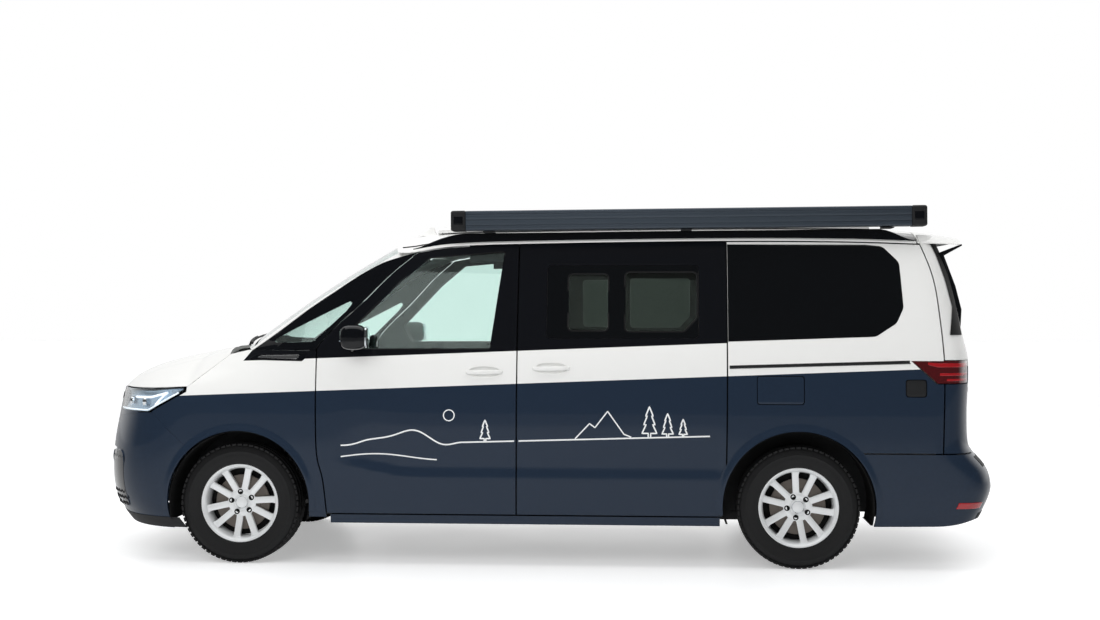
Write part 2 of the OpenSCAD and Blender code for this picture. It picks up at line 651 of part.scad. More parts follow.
module flap_prism(x, z, w, h, grow, deep) {
    intersection() {
        translate([x - w / 2 - grow, -half_w - 20, z - h / 2 - grow])
            cube([w + 2 * grow, 120, h + 2 * grow]);
        side_slab(function (q) x - w, function (q) x + w, z - h, function (u) z + h, -15, 15 + deep, 4, 2);
    }
}
fuel_x = rear_axle_x - 100;
fuel_z = 986;
socket_x = rear_axle_x + 632;
socket_z = 999;
module fuel_pocket(grow, deep) {
    flap_prism(fuel_x, fuel_z, 260, 158, grow, deep);
}
module socket_pocket(grow, deep) {
    flap_prism(socket_x, socket_z, 115, 97, grow, deep);
}

flap_t = 8;
// Ledge at the hinge that a closed flap rests on
module flap_rest(x, z, w, h) {
    intersection() {
        translate([x - w / 2, -half_w - 20, z - 30]) cube([24, 120, 60]);
        side_slab(function (q) x - w, function (q) x + w, z - h, function (u) z + h,
                  flap_t + clear, 40, 4, 2);
    }
}

module flap(x, z, w, h) {
    intersection() {
        translate([x - w / 2, -half_w - 20, z - h / 2]) cube([w, 120, h]);
        side_slab(function (q) x - w, function (q) x + w, z - h, function (u) z + h, 0, flap_t, 4, 2);
    }
}

module fuel_flap() {
    color("#26384a") flap(fuel_x, fuel_z, 260 - gap, 158 - gap);
}

module socket_flap() {
    color("#26384a") flap(socket_x, socket_z, 115 - gap, 97 - gap);
}

module lamp_pocket() {
    translate([0, -body_w, 0]) rotate([-90, 0, 0]) linear_extrude(height = 2 * body_w)
        polygon([[rear_axle_x + 606, -1148 - seal], [rear_axle_x + 900, -1148 - seal],
                 [rear_axle_x + 900, -1022], [rear_axle_x + 742, -1022]]);
}

lamp_y = half_w - 228.5;
module tail_lamps() {
    spots = [0.912, 0.9, 0.885, 0.866, 0.82, 0.76, 0.68, 0.6, 0.52, 0.44];
    place = function (i, v, t) let (
        p = tail_pt(-spots[i], 1148, 1),
        low = max(1027, 1146 - 0.88 * (p[0] - tail_pt(-spots[0], 1148)[0]))
    ) tail_pt(-spots[i], mix(low, 1148, v), 1) + t * [-max(0, i - 2) / 7, 0.9 - i / 12, 0];
    color("#a01c20") both_sides()
        slab([for (i = [0:9]) [for (j = [0:3]) place(i, j / 3, 0)]],
             [for (i = [0:9]) [for (j = [0:3]) place(i, j / 3, 48)]]);
}

tail_rows = [sill_z + 4, 290, 340, 395, 460, 520, 580, 638];
module rear_bumper() {
    color("#101214") both_sides() translate([curve(tail_keys, 638) - 20, -320, 620])
        cube([14, 40, 18 + gap - seal]);
    color("#26384a") difference() {
        slab([for (j = [0:20]) [for (z = tail_rows) tail_pt(j / 10 - 1, z)]],
             [for (j = [0:20]) [for (z = tail_rows) tail_pt(j / 10 - 1, z, skin_t)]]);
        arch_cut(rear_axle_x, rear_arch_r);
        translate(rear_tow - [200, 0, 0]) rotate([0, 90, 0]) cylinder(h = 400, r = tow_r + 4);
    }
}

module tailgate() {
    color("#f2f2f0") difference() {
        union() {
            slab(grid(function (u, v) gate_pt(u, v, 0), 12, 9),
                 grid(function (u, v) gate_pt(u, v, 50), 12, 9));
            spoiler();
        }
        gate_window(0);
        both_sides() translate([tail_x - 400, -body_w, 1021]) cube([800, body_w - lamp_y, 133]);
    }
}
function gate_pt(u, v, t) = let (
    s = mix(-1, 1, u),
    z = mix(638 + gap, door_top_z + 50, v),
    e = 2 / tail_power,
    span = (curve(tail_keys, z) - rear_shut(z)) / tail_round,
    m = s * acos((1 - span) ^ (1 / e)),
    x = curve(tail_keys, z) - t - (tail_round - t) * (1 - cos(m) ^ e)
) [max(x, rear_shut(z)), sign(m) * (curve(side_keys, z) - t) * sin(abs(m)) ^ e, z];

// Top of the tailgate, run out over the rear window
module spoiler() {
    place = function (u, v, t) let (
        s = mix(-1, 1, v),
        x = mix(tail_shut_x, tail_x - 130 - 60 * s ^ 2, u),
        w = mix(roof_edge_y(tail_shut_x) - 4, half_w - 280.5, u),
        y = s * w,
        top = roof_pt_z(tail_shut_x, s * (roof_edge_y(tail_shut_x) - 4)) - 46 * u ^ 1.5 * (1 - s ^ 4)
            - 10 * u * s ^ 4
    ) [x, y, top - t * mix(1, 0.35, u) * (1 - 0.84 * s ^ 6)];
    slab(grid(function (u, v) place(u, v, 0), 5, 10), grid(function (u, v) place(u, v, 44), 5, 10));
}

gate_low_y = half_w - 350.5;
gate_top_y = half_w - 430.5;
gate_low_z = belt_z + 82;
gate_top_z = door_top_z - 97;
module gate_window(shrink) {
    translate([tail_x - 700, 0, 0]) rotate([90, 0, 90]) linear_extrude(height = 700) offset(delta = -shrink)
        offset(r = 40) polygon([[-gate_low_y, gate_low_z], [gate_low_y, gate_low_z],
                                 [gate_top_y, gate_top_z], [-gate_top_y, gate_top_z]]);
}

module tailgate_glass() {
    color("#15181b", 0.8) intersection() {
        slab(grid(function (u, v) gate_pt(u, v, 4), 10, 6),
             grid(function (u, v) gate_pt(u, v, 4 + glass_t), 10, 6));
        gate_window(clear);
    }
}

function bonnet_pt(u, v, t) = let (
    s = mix(-1, 1, v),
    x = mix(front_edge_x(s * bonnet_front_y) + 3, bonnet_rear_x - 60 * (1 - s ^ 2), u),
    y = s * mix(bonnet_front_y, bonnet_rear_y - 4, u)
) [x, y, bonnet_z(x, y) - t * (0.12 + 0.88 * min(1, 5 * u, 8 * (1 - abs(s))))];
module bonnet() {
    color("#f2f2f0") slab(grid(function (u, v) bonnet_pt(u, v, 0), 9, 14),
                          grid(function (u, v) bonnet_pt(u, v, bonnet_t), 9, 14));
}

awning_at = [b_post_x - 290, -half_w + 112, door_top_z + 74];
awning_tilt = 0.45;
bracket_t = 8;
function awning_low(x) = awning_at[2] + tan(awning_tilt) * (x - awning_at[0]);
module awning_section() {
    offset(r = 14) polygon([[-14, 14], [-14, awning_d - 20], [-awning_h + 30, awning_d - 14],
                            [-awning_h + 14, awning_d - 40], [-awning_h + 14, 14]]);
}
module awning() {
    color("#3c444b") translate(awning_at) rotate([0, -awning_tilt, 0]) {
        translate([-90, 0, 0]) rotate([0, 90, 0]) linear_extrude(height = awning_l + 180) awning_section();
        for (x = [120, awning_l / 2, awning_l - 120])
            translate([x - 30, 20, -bracket_t]) cube([60, 130, bracket_t + 4]);
    }
}

module fairing(cols) {
    low = [for (i = [1:roof_rows]) [for (j = cols) roof_pt(i / roof_rows, j / roof_cols, 0) + [0, 0, clear]]];
    inner = cols[0] < roof_cols / 2 ? 2 : 0;
    top = [for (i = [0:roof_rows - 1]) [for (j = [0:2]) let (
        q = low[i][j],
        thin = i == 0 || i == roof_rows - 1 || j == inner
    ) [q[0], q[1], thin ? q[2] + 3 : awning_low(q[0]) - bracket_t - clear]]];
    slab(top, low);
}
module roof_fairings() {
    color("#101214") {
        fairing([1, 2, 3]);
        fairing([roof_cols - 3, roof_cols - 2, roof_cols - 1]);
    }
}

dash_y = half_w - 230.5;
module dashboard() {
    color("#2b2d30") difference() {
        hull() {
            translate([front_axle_x + 130, -dash_y, 940]) cube([120, 2 * dash_y, 180]);
            translate([front_axle_x + 420, -dash_y, 800]) cube([130, 2 * dash_y, 200]);
        }
        translate(steering_at) rotate([0, steering_tilt, 0]) translate([0, 0, -300])
            cylinder(h = 250, r = 20 + clear);
    }
    color("#2b2d30") both_sides() translate([front_axle_x + 400, -half_w + 107, 918]) cube([60, 300, 40]);
}

module front_seats() {
    color("#4a4d52") both_sides() translate([b_post_x - 560, -seat_y - seat_w / 2, floor_z + clear]) {
        translate([60, 60, 0]) cube([380, seat_w - 120, 300]);
        translate([0, 0, 300]) cube([520, seat_w, 130]);
        translate([480, 10, 400]) rotate([0, 14, 0]) cube([110, seat_w - 20, 620]);
        translate([630, 120, 970]) rotate([0, 14, 0]) cube([80, seat_w - 240, 180]);
    }
}

module rear_bench() {
    color("#4a4d52") translate([rear_axle_x - 160, -400, floor_z + clear]) {
        cube([520, 1000, 400]);
        translate([470, 0, 380]) rotate([0, 12, 0]) cube([110, 1000, 620]);
    }
}

module kitchen_unit() {
    color("#b9bdc0") translate([b_post_x + 420, -half_w + 126, floor_z + clear])
        cube([c_post_x - b_post_x - 494, 350, 780]);
}

module cowl() {
    place = function (u, v, t) let (
        s = mix(-0.97, 0.97, u),
        back = screen_pt(s, 0.0, 12),
        x = mix(bonnet_rear_x - 60 * (1 - s ^ 2) + gap + 4, back[0] - 6, v),
        y = s * mix(bonnet_rear_y - 24, screen_low_y - 4, v)
    ) [x, y, mix(bonnet_z(x, y) - 26, back[2] - 12, v) - t];
    color("#101214") {
        slab(grid(function (u, v) place(v, u, 0), 3, 12), grid(function (u, v) place(v, u, 30), 3, 12));
        slab(screen_rows(-0.015, 0.03, screen_in, 1), screen_rows(-0.015, 0.03, screen_in + 24, 1));
        both_sides() wiper();
    }
}
module wiper() {
    a = screen_pt(-0.84, 0.03, -22);
    b = screen_pt(-0.1, 0.07, -22);
    hull() {
        translate(a) sphere(r = 9, $fn = 6);
        translate(b) sphere(r = 7, $fn = 6);
    }
    hull() {
        translate(a) sphere(r = 9, $fn = 6);
        translate(a + [-62, 40, -56]) sphere(r = 11, $fn = 6);
    }
}

steering_at = [front_axle_x + 700, -seat_y, 1060];
steering_tilt = 62;
module steering_wheel() {
    color("#1a1b1d") translate(steering_at) rotate([0, steering_tilt, 0]) {
        rotate_extrude() translate([steering_r - 16, 0]) circle(r = 16);
        translate([0, 0, -60]) cylinder(h = 70, r = 60);
        for (a = [0, 120, 240]) rotate([0, 0, a]) translate([40, -16, -14]) cube([steering_r - 60, 32, 18]);
        translate([0, 0, -200]) cylinder(h = 150, r = 20);
    }
}

module knuckle_left() {
    color("#55585c") {
        translate([front_axle_x, -wheel_y + 80, 259 + clear]) cylinder(h = 170, r = 30);
        translate([front_axle_x, -wheel_y + 110, tyre_r]) rotate([90, 0, 0]) cylinder(h = 104, r = 29.95);
    }
}

module knuckle_right() {
    mirror([0, 1, 0]) knuckle_left();
}

module tyre() {
    rotate([90, 0, 0]) rotate_extrude($fn = 96)
        polygon([[rim_r - 12, -tyre_w / 2 + 20], [rim_r + 12, -tyre_w / 2 + 6], [rim_r + 50, -tyre_w / 2],
                 [tyre_r - 28, -tyre_w / 2 + 10], [tyre_r - 8, -tyre_w / 2 + 26], [tyre_r, -tyre_w / 2 + 56],
                 [tyre_r, tyre_w / 2 - 56], [tyre_r - 8, tyre_w / 2 - 26], [tyre_r - 28, tyre_w / 2 - 10],
                 [rim_r + 50, tyre_w / 2], [rim_r + 12, tyre_w / 2 - 6], [rim_r - 12, tyre_w / 2 - 20]]);
}

// Wheel rim, its outer face towards -y
module rim() {
    bore_r = 30;
    rotate([90, 0, 0]) difference() {
        union() {
            rotate_extrude($fn = 96) polygon([
                [rim_r - 12.3, -tyre_w / 2 + 20], [rim_r - 26, -tyre_w / 2 + 20], [rim_r - 34, -40],
                [rim_r - 34, 60], [rim_r - 16, tyre_w / 2 - 14], [rim_r - 12.3, tyre_w / 2 - 10]]);
            translate([0, 0, 10]) cylinder(h = 46, r = 78);
            for (i = [0:spoke_pairs - 1], side = [-1, 1]) rotate([0, 0, i * 360 / spoke_pairs])
                translate([50, side * 22 - 14, 34]) rotate([0, 0, side * 7]) cube([rim_r - 34 - 50, 28, 24]);
            translate([0, 0, -40]) cylinder(h = 24, r = disc_r);
            translate([0, 0, -20]) cylinder(h = 32, r = 70);
        }
        translate([0, 0, -60]) cylinder(h = 100, r = bore_r);
        for (i = [0:spoke_pairs - 1]) rotate([0, 0, (i + 0.5) * 360 / spoke_pairs])
            translate([bolt_circle_r, 0, 40]) cylinder(h = 30, r = 11);
    }
}

module place_left(x) {
    translate([x, -wheel_y, tyre_r]) children();
}

module place_right(x) {
    mirror([0, 1, 0]) translate([x, -wheel_y, tyre_r]) children();
}

module mirror_left() {
    foot = [front_axle_x + 640, -side_y(front_axle_x + 640, belt_z - 4) - 11.5, belt_z - 4];
    color("#101214") {
        hull() {
            translate([front_axle_x + 700, -half_w - 96, belt_z + 24]) sphere(r = 24, $fn = 10);
            translate([front_axle_x + 640, -half_w - 100, belt_z + 96]) sphere(r = 30, $fn = 10);
            translate([front_axle_x + 706, -half_w - 124, belt_z + 96]) sphere(r = 30, $fn = 10);
            translate([front_axle_x + 680, -half_w - 20, belt_z + 66]) sphere(r = 30, $fn = 10);
        }
        hull() {
            translate([front_axle_x + 680, -half_w - 40, belt_z + 20]) sphere(r = 18, $fn = 8);
            translate(foot) sphere(r = 12, $fn = 8);
        }
    }
}

module mirror_right() {
    mirror([0, 1, 0]) mirror_left();
}

floor_pan();
engine();
front_subframe();
rear_axle();
front_bumper();
nose_panel();
grille();
headlamps();
front_wings();
side_frames();
windscreen_posts();
windscreen();
roof();
sliding_doors();
side_glass();
rear_quarters();
rear_bumper();
tail_lamps();
awning();
roof_fairings();
dashboard();
front_seats();
rear_bench();
kitchen_unit();
cowl();
steering_wheel();
knuckle_left();
knuckle_right();
color("#17181a") place_left(front_axle_x) tyre();  // tyre_front_left
color("#17181a") place_right(front_axle_x) tyre();  // tyre_front_right
color("#17181a") place_left(rear_axle_x) tyre();  // tyre_rear_left
color("#17181a") place_right(rear_axle_x) tyre();  // tyre_rear_right
color("#c9cdd0") place_left(front_axle_x) rim();  // rim_front_left
color("#c9cdd0") place_right(front_axle_x) rim();  // rim_front_right
color("#c9cdd0") place_left(rear_axle_x) rim();  // rim_rear_left
color("#c9cdd0") place_right(rear_axle_x) rim();  // rim_rear_right
door_left();
door_right();
door_glass_left();
door_glass_right();
mirror_left();
mirror_right();
bonnet();
tailgate();
tailgate_glass();
pop_top();
fuel_flap();
socket_flap();
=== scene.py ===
"""Looks of a two-tone camper van with a pop-up roof and a side awning case.

Sizes are in millimetres as measured on the vehicle and become metres when a mesh is made.
X runs towards the tail, Y towards the van's right side and Z up.
"""

from __future__ import annotations

import json
import logging
import math
from dataclasses import dataclass
from enum import Enum
from typing import Callable, Iterable, Sequence

import bmesh
import bpy
from mathutils import Matrix, Vector

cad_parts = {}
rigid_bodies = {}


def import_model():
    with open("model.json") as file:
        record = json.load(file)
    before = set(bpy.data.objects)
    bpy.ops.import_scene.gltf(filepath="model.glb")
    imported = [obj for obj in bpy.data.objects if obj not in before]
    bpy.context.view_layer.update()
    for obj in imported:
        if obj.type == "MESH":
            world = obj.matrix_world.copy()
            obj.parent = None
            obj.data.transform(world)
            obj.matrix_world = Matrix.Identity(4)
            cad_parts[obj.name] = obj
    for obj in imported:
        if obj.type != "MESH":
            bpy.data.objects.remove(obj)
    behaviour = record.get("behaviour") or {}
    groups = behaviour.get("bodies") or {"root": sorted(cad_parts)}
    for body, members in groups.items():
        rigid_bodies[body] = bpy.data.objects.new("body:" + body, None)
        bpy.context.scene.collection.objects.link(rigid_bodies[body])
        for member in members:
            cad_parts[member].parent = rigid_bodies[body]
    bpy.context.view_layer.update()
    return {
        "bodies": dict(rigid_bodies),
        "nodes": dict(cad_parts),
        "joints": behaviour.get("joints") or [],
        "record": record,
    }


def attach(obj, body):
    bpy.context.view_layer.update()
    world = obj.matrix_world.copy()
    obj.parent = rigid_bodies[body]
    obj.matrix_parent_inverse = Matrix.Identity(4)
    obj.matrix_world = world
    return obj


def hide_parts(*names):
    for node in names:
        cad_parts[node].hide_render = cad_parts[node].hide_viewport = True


LOG = logging.getLogger("camper_van")
MM = 0.001
SHELL = "body_shell"
BOX_FACES = ((0, 1, 3, 2), (4, 6, 7, 5), (0, 4, 5, 1), (2, 3, 7, 6), (0, 2, 6, 4), (1, 5, 7, 3))
# rows of hexagonal cells stand closer than their pitch by this share
HEX_ROW = 0.866

Point = tuple[float, float, float]
Rows = list[list[Point]]
Flat = Sequence[tuple[float, float]]
Path = list[tuple[float, float]]
Edge = Callable[[float], float]
Piece = bpy.types.Object
Socket = bpy.types.NodeSocket
Tree = bpy.types.NodeTree


class Side(Enum):
    """A side of the van, with the sign of its Y."""

    LEFT = -1
    RIGHT = 1


# body shape

HALF_W = 970.5
NOSE_X, TAIL_X = -2586.5, 2586.5
FRONT_AXLE, REAR_AXLE = -1645.5, 1478.5
WHEEL_Y, TYRE_R, TYRE_W, RIM_R = 826.0, 338.0, 215.0, 221.0
SILL_Z, DOOR_LOW_Z, BELT_Z, DOOR_TOP_Z = 236.0, 292.0, 1208.0, 1797.0
ROOF_RISE, BUMPER_Z, GAP = 105.0, 196.0, 8.0
FRONT_ARCH_R, REAR_ARCH_R, ARCH_Z = 408.0, 420.0, 344.0
B_POST, C_POST, TAIL_SHUT = REAR_AXLE - 1556, REAR_AXLE - 390, REAR_AXLE + 672
NOSE_ROUND, NOSE_POWER, TAIL_ROUND, TAIL_POWER = 620.0, 2.3, 312.0, 4.0
BONNET_FRONT_Z, BONNET_SIDE_X = 984.0, FRONT_AXLE - 314
BONNET_CORNER_X, BONNET_REAR_X, BONNET_REAR_Y, BONNET_T = NOSE_X + 441, FRONT_AXLE - 84, 800.0, 26.0
POP_HALF_W, POP_H = 600.0, 72.0
LAMP_LOW, LAMP_IN, LAMP_TURN, LAMP_OUT = 851.0, 0.34, 0.694, 0.835
AWNING_AT, AWNING_TILT = (B_POST - 290, -HALF_W + 112, DOOR_TOP_Z + 74), 0.45
AWNING_L, AWNING_H, AWNING_D = 2468.0, 116.0, 118.0
SEAT_Y, STEERING_R, STEERING_TILT = 430.0, 188.0, 62.0
STEERING_AT = (FRONT_AXLE + 700, -SEAT_Y, 1060.0)
FLOOR_Z = 330.0
# the paint's dividing line and the lower edge of the black window band rise to the rear
SPLIT_AT, BELT_AT, LINE_RISE = (-1197.0, 975.0), (-90.0, 1199.0), 0.0385

SIDE_KEYS = ((SILL_Z - 50, HALF_W - 40), (SILL_Z, HALF_W - 27), (SILL_Z + 90, HALF_W - 13), (560, HALF_W - 2),
    (780, HALF_W), (960, HALF_W - 6), (1100, HALF_W - 18), (BELT_Z, HALF_W - 34), (1330, HALF_W - 60),
    (1480, HALF_W - 95), (1640, HALF_W - 138), (1760, HALF_W - 178), (DOOR_TOP_Z + 20, HALF_W - 206))
NOSE_KEYS = ((BUMPER_Z - 10, NOSE_X + 122), (260, NOSE_X + 68), (360, NOSE_X + 18), (480, NOSE_X),
    (640, NOSE_X + 8), (800, NOSE_X + 36), (980, NOSE_X + 76), (1250, NOSE_X + 160))
TAIL_KEYS = ((SILL_Z - 10, TAIL_X - 92), (330, TAIL_X - 40), (400, TAIL_X - 10), (460, TAIL_X),
    (550, TAIL_X - 26), (640, TAIL_X - 100), (680, TAIL_X - 124), (840, TAIL_X - 132), (1150, TAIL_X - 122),
    (1300, TAIL_X - 150), (1500, TAIL_X - 186), (1700, TAIL_X - 236), (DOOR_TOP_Z + 60, TAIL_X - 300))
CANTRAIL_KEYS = ((B_POST - 620, DOOR_TOP_Z - 52), (B_POST - 400, DOOR_TOP_Z - 16), (B_POST, DOOR_TOP_Z),
    (C_POST, DOOR_TOP_Z + 14), (REAR_AXLE + 300, DOOR_TOP_Z + 8), (REAR_AXLE + 700, DOOR_TOP_Z - 6))
ROOF_KEYS = ((FRONT_AXLE + 740, DOOR_TOP_Z + 10), (FRONT_AXLE + 870, DOOR_TOP_Z + 50),
    (FRONT_AXLE + 1090, DOOR_TOP_Z + ROOF_RISE - 18), (FRONT_AXLE + 1550, DOOR_TOP_Z + ROOF_RISE),
    (REAR_AXLE - 100, DOOR_TOP_Z + ROOF_RISE + 12), (REAR_AXLE + 520, DOOR_TOP_Z + ROOF_RISE - 4),
    (REAR_AXLE + 800, DOOR_TOP_Z + ROOF_RISE - 34))
BONNET_KEYS = ((NOSE_X + 60, BONNET_FRONT_Z - 4), (NOSE_X + 110, 1018), (NOSE_X + 190, 1068),
    (NOSE_X + 300, 1112), (NOSE_X + 450, 1152), (NOSE_X + 600, 1182), (NOSE_X + 750, 1206),
    (NOSE_X + 900, 1226), (NOSE_X + 980, 1236))
DOOR_FRONT_KEYS = ((DOOR_LOW_Z - 60, FRONT_AXLE + 512), (480, FRONT_AXLE + 486), (600, FRONT_AXLE + 456),
    (780, FRONT_AXLE + 447), (1165, FRONT_AXLE + 447), (BELT_Z + 14, FRONT_AXLE + 452),
    (1323, FRONT_AXLE + 538), (1464, FRONT_AXLE + 690), (1640, FRONT_AXLE + 862), (1756, FRONT_AXLE + 1002))
REAR_SHUT_KEYS = ((620, REAR_AXLE + 780), (1030, REAR_AXLE + 790), (1156, REAR_AXLE + 790),
    (1379, REAR_AXLE + 776), (1607, REAR_AXLE + 748), (DOOR_TOP_Z + 40, REAR_AXLE + 672))
PILLAR_KEYS = ((BELT_Z - 10, FRONT_AXLE + 52), (1326, FRONT_AXLE + 235), (1515, FRONT_AXLE + 505),
    (1688, FRONT_AXLE + 779), (DOOR_TOP_Z - 36, FRONT_AXLE + 1000))


def mix(a: float, b: float, u: float) -> float:
    """Returns the value a share u of the way from a to b."""
    return a + (b - a) * u


def smooth(a: float, b: float, v: float) -> float:
    """Returns a soft step from 0 at a to 1 at b."""
    u = min(1.0, max(0.0, (v - a) / (b - a)))
    return u * u * (3 - 2 * u)


def curve(keys: Flat, v: float) -> float:
    """Returns the smooth curve through the key points (position, value) at v."""
    i = 0
    while i < len(keys) - 2 and v >= keys[i + 1][0]:
        i += 1

    def slope(k: int) -> float:
        """Returns the curve's slope at key k."""
        a, b = keys[max(0, k - 1)], keys[min(len(keys) - 1, k + 1)]
        return (b[1] - a[1]) / (b[0] - a[0])

    h = keys[i + 1][0] - keys[i][0]
    u = min(1.0, max(0.0, (v - keys[i][0]) / h))
    return (2 * u ** 3 - 3 * u ** 2 + 1) * keys[i][1] + (u ** 3 - 2 * u ** 2 + u) * slope(i) * h + (3 * u ** 2
        - 2 * u ** 3) * keys[i + 1][1] + (u ** 3 - u ** 2) * slope(i + 1) * h


def rounded(u: float, p: float) -> float:
    """Returns the height of a superellipse's quarter at u."""
    return 1.0 if u <= 0 else 0.0 if u >= 1 else (1 - u**p) ** (1 / p)


def side_y(x: float, z: float) -> float:
    """Returns the body's half width at a place on its side."""
    u, v = max(0.0, FRONT_AXLE + 395 - x) / 477, max(0.0, z - 900)
    w = curve(SIDE_KEYS, z) - 0.0016 * u**1.5 * v**2
    w *= rounded((curve(NOSE_KEYS, z) + NOSE_ROUND - x) / NOSE_ROUND, NOSE_POWER)
    return w * rounded((x - curve(TAIL_KEYS, z) + TAIL_ROUND) / TAIL_ROUND, TAIL_POWER)


def swage(x: float, z: float) -> float:
    """Returns the depth of the pressed hollow above the sills' feature line, which fades at both wheels."""
    crease = 512 + 70 * smooth(B_POST - 520, FRONT_AXLE + 520, x) if x < B_POST - 520 else 512
    run = smooth(FRONT_AXLE + 470, FRONT_AXLE + 800, x) * (1 - smooth(C_POST - 60, C_POST + 20, x))
    return 7 * run * smooth(crease - 6, crease + 22, z) * (1 - smooth(crease + 60, crease + 330, z))


def skin_y(x: float, z: float) -> float:
    """Returns the half width of the outer sheet, with its pressed hollow."""
    return side_y(x, z) - swage(x, z)


def nose_pt(s: float, z: float, t: float = 0.0) -> Point:
    """Returns a point on the nose, s from -1 at the left arch to 1 at the right, t below the sheet."""
    m, ext = min(1.0, abs(s) / 0.88), max(0.0, abs(s) - 0.88) / 0.12
    e, l = 2 / NOSE_POWER, NOSE_ROUND - t
    a = math.radians(90 * m)
    return (curve(NOSE_KEYS, z) + t + l * (1 - max(0.0, math.cos(a)) ** e) + 110 * ext,
        math.copysign((curve(SIDE_KEYS, z) - t) * math.sin(a) ** e, s), z)


def tail_pt(s: float, z: float, t: float = 0.0) -> Point:
    """Returns a point on the rounded tail, s from -1 on the left to 1 on the right, t below the sheet."""
    m, ext = min(1.0, abs(s) / 0.9), max(0.0, abs(s) - 0.9) / 0.1
    e, l = 2 / TAIL_POWER, TAIL_ROUND - t
    a = math.radians(90 * m)
    return (curve(TAIL_KEYS, z) - t - l * (1 - max(0.0, math.cos(a)) ** e) - 500 * ext,
        math.copysign((curve(SIDE_KEYS, z) - t) * math.sin(a) ** e, s), z)


def cantrail(x: float) -> float:
    """Returns the height of the doors' upper edge."""
    return curve(CANTRAIL_KEYS, x)


def roof_edge_y(x: float) -> float:
    """Returns the roof's half width."""
    return side_y(x, cantrail(x)) - 2


def roof_z(x: float, y: float) -> float:
    """Returns the roof's height."""
    edge = cantrail(x) + GAP + 4
    top = max(edge + 10, curve(ROOF_KEYS, x))
    return top - (top - edge) * min(1.0, abs(y) / roof_edge_y(x)) ** 5


def roof_pt(u: float, v: float, t: float) -> Point:
    """Returns a point on the roof's outer (t 0) or inner (t 1) face."""
    s = math.sin(math.radians(mix(-90, 90, v)))
    x = mix(FRONT_AXLE + 880 - 88 * (1 - s * s), TAIL_SHUT - GAP, u)
    y = s * roof_edge_y(x)
    return x, y, roof_z(x, y) - t * 36 * (1 - 0.8 * abs(s) ** 8)


def pop_pt(u: float, v: float, t: float) -> Point:
    """Returns a point on the pop-up roof's shell, t above its lower face."""
    s = mix(-1, 1, v)
    x = mix(FRONT_AXLE + 1080 - 40 * (1 - s * s), REAR_AXLE + 430 + 20 * (1 - s * s), u)
    y = s * (POP_HALF_W - 30 * (2 * u - 1) ** 6)
    rim = min(1.0, 7 * u, 7 * (1 - u), 7 * v, 7 * (1 - v))
    return x, y, roof_z(x, y) + GAP + t * (0.25 + 0.75 * math.sin(math.radians(90 * rim)))


def bonnet_edge(x: float) -> tuple[float, float]:
    """Returns the half width and height of the bonnet's side edge, on the lamps and the wings."""
    lamp = BONNET_FRONT_Z + 14 * max(0.0, (min(x, BONNET_SIDE_X) - NOSE_X - 200) / (BONNET_SIDE_X - NOSE_X
        - 200)) ** 2
    wing = mix(BONNET_FRONT_Z + 8, BELT_Z - 32, (x - FRONT_AXLE + 296) / (BONNET_REAR_X + 302
        - FRONT_AXLE)) + 5
    z = max(lamp, wing)
    return side_y(x, z) - 3, z


def bonnet_z(x: float, y: float) -> float:
    """Returns the bonnet's height."""
    edge_y, edge_z = bonnet_edge(min(x, BONNET_REAR_X))
    top = curve(BONNET_KEYS, x)
    p = 3.2 + 4 * max(0.0, (x - BONNET_SIDE_X) / 230)
    return top - (top - edge_z) * min(1.0, abs(y) / max(1.0, edge_y)) ** p


def bonnet_pt(u: float, v: float, t: float) -> Point:
    """Returns a point on the bonnet, t below its sheet."""
    s = mix(-1, 1, v)
    front = curve(NOSE_KEYS, BONNET_FRONT_Z) + NOSE_ROUND * (1
        - rounded(min(1.0, abs(s) * 900 / curve(SIDE_KEYS, BONNET_FRONT_Z)), NOSE_POWER))
    x = mix(front + 3, BONNET_REAR_X - 60 * (1 - s * s), u)
    y = s * bonnet_edge(mix(BONNET_CORNER_X, BONNET_REAR_X, u))[0]
    return x, y, bonnet_z(x, y) - t * (0.12 + 0.88 * min(1.0, 5 * u, 8 * (1 - abs(s))))


def screen_pt(s: float, u: float, t: float = 0.0) -> Point:
    """Returns a point on the windscreen, s across and u from the cowl to the header."""
    q = 1 - s * s
    bulge = 22 * math.sin(math.pi * u)
    return (mix(FRONT_AXLE + 12 - 135 * q, FRONT_AXLE + 868 - 88 * q, u) - bulge * 0.55 + t * 0.55,
        s * mix(742, 628, u), mix(BELT_Z - 8 + 22 * q, DOOR_TOP_Z - 32 + 62 * q, u) + bulge * 0.8 - t * 0.8)


def gate_pt(u: float, v: float, t: float) -> Point:
    """Returns a point on the tailgate, t below its sheet."""
    s, z, e = mix(-1, 1, u), mix(638 + GAP, DOOR_TOP_Z + 50, v), 2 / TAIL_POWER
    span = (curve(TAIL_KEYS, z) - rear_shut(z)) / TAIL_ROUND
    m = s * math.acos((1 - span) ** (1 / e))
    x = curve(TAIL_KEYS, z) - t - (TAIL_ROUND - t) * (1 - math.cos(m) ** e)
    return max(x, rear_shut(z)), math.copysign((curve(SIDE_KEYS, z) - t) * math.sin(abs(m)) ** e, m), z


def door_front(z: float) -> float:
    """Returns the front door's leading edge."""
    return curve(DOOR_FRONT_KEYS, z)


def b_post(z: float) -> float:
    """Returns the shut line between the side doors."""
    return B_POST + 5 * (z - DOOR_LOW_Z) / (DOOR_TOP_Z - DOOR_LOW_Z)


def c_post(z: float) -> float:
    """Returns the shut line behind the sliding door."""
    return C_POST - 12 * min(1.0, max(0.0, (BELT_Z - z) / 900)) ** 2


def rear_shut(z: float) -> float:
    """Returns the tailgate's shut line."""
    return curve(REAR_SHUT_KEYS, z)


def pillar_x(z: float) -> float:
    """Returns the lower edge of the windscreen pillar's white face."""
    return curve(PILLAR_KEYS, z)


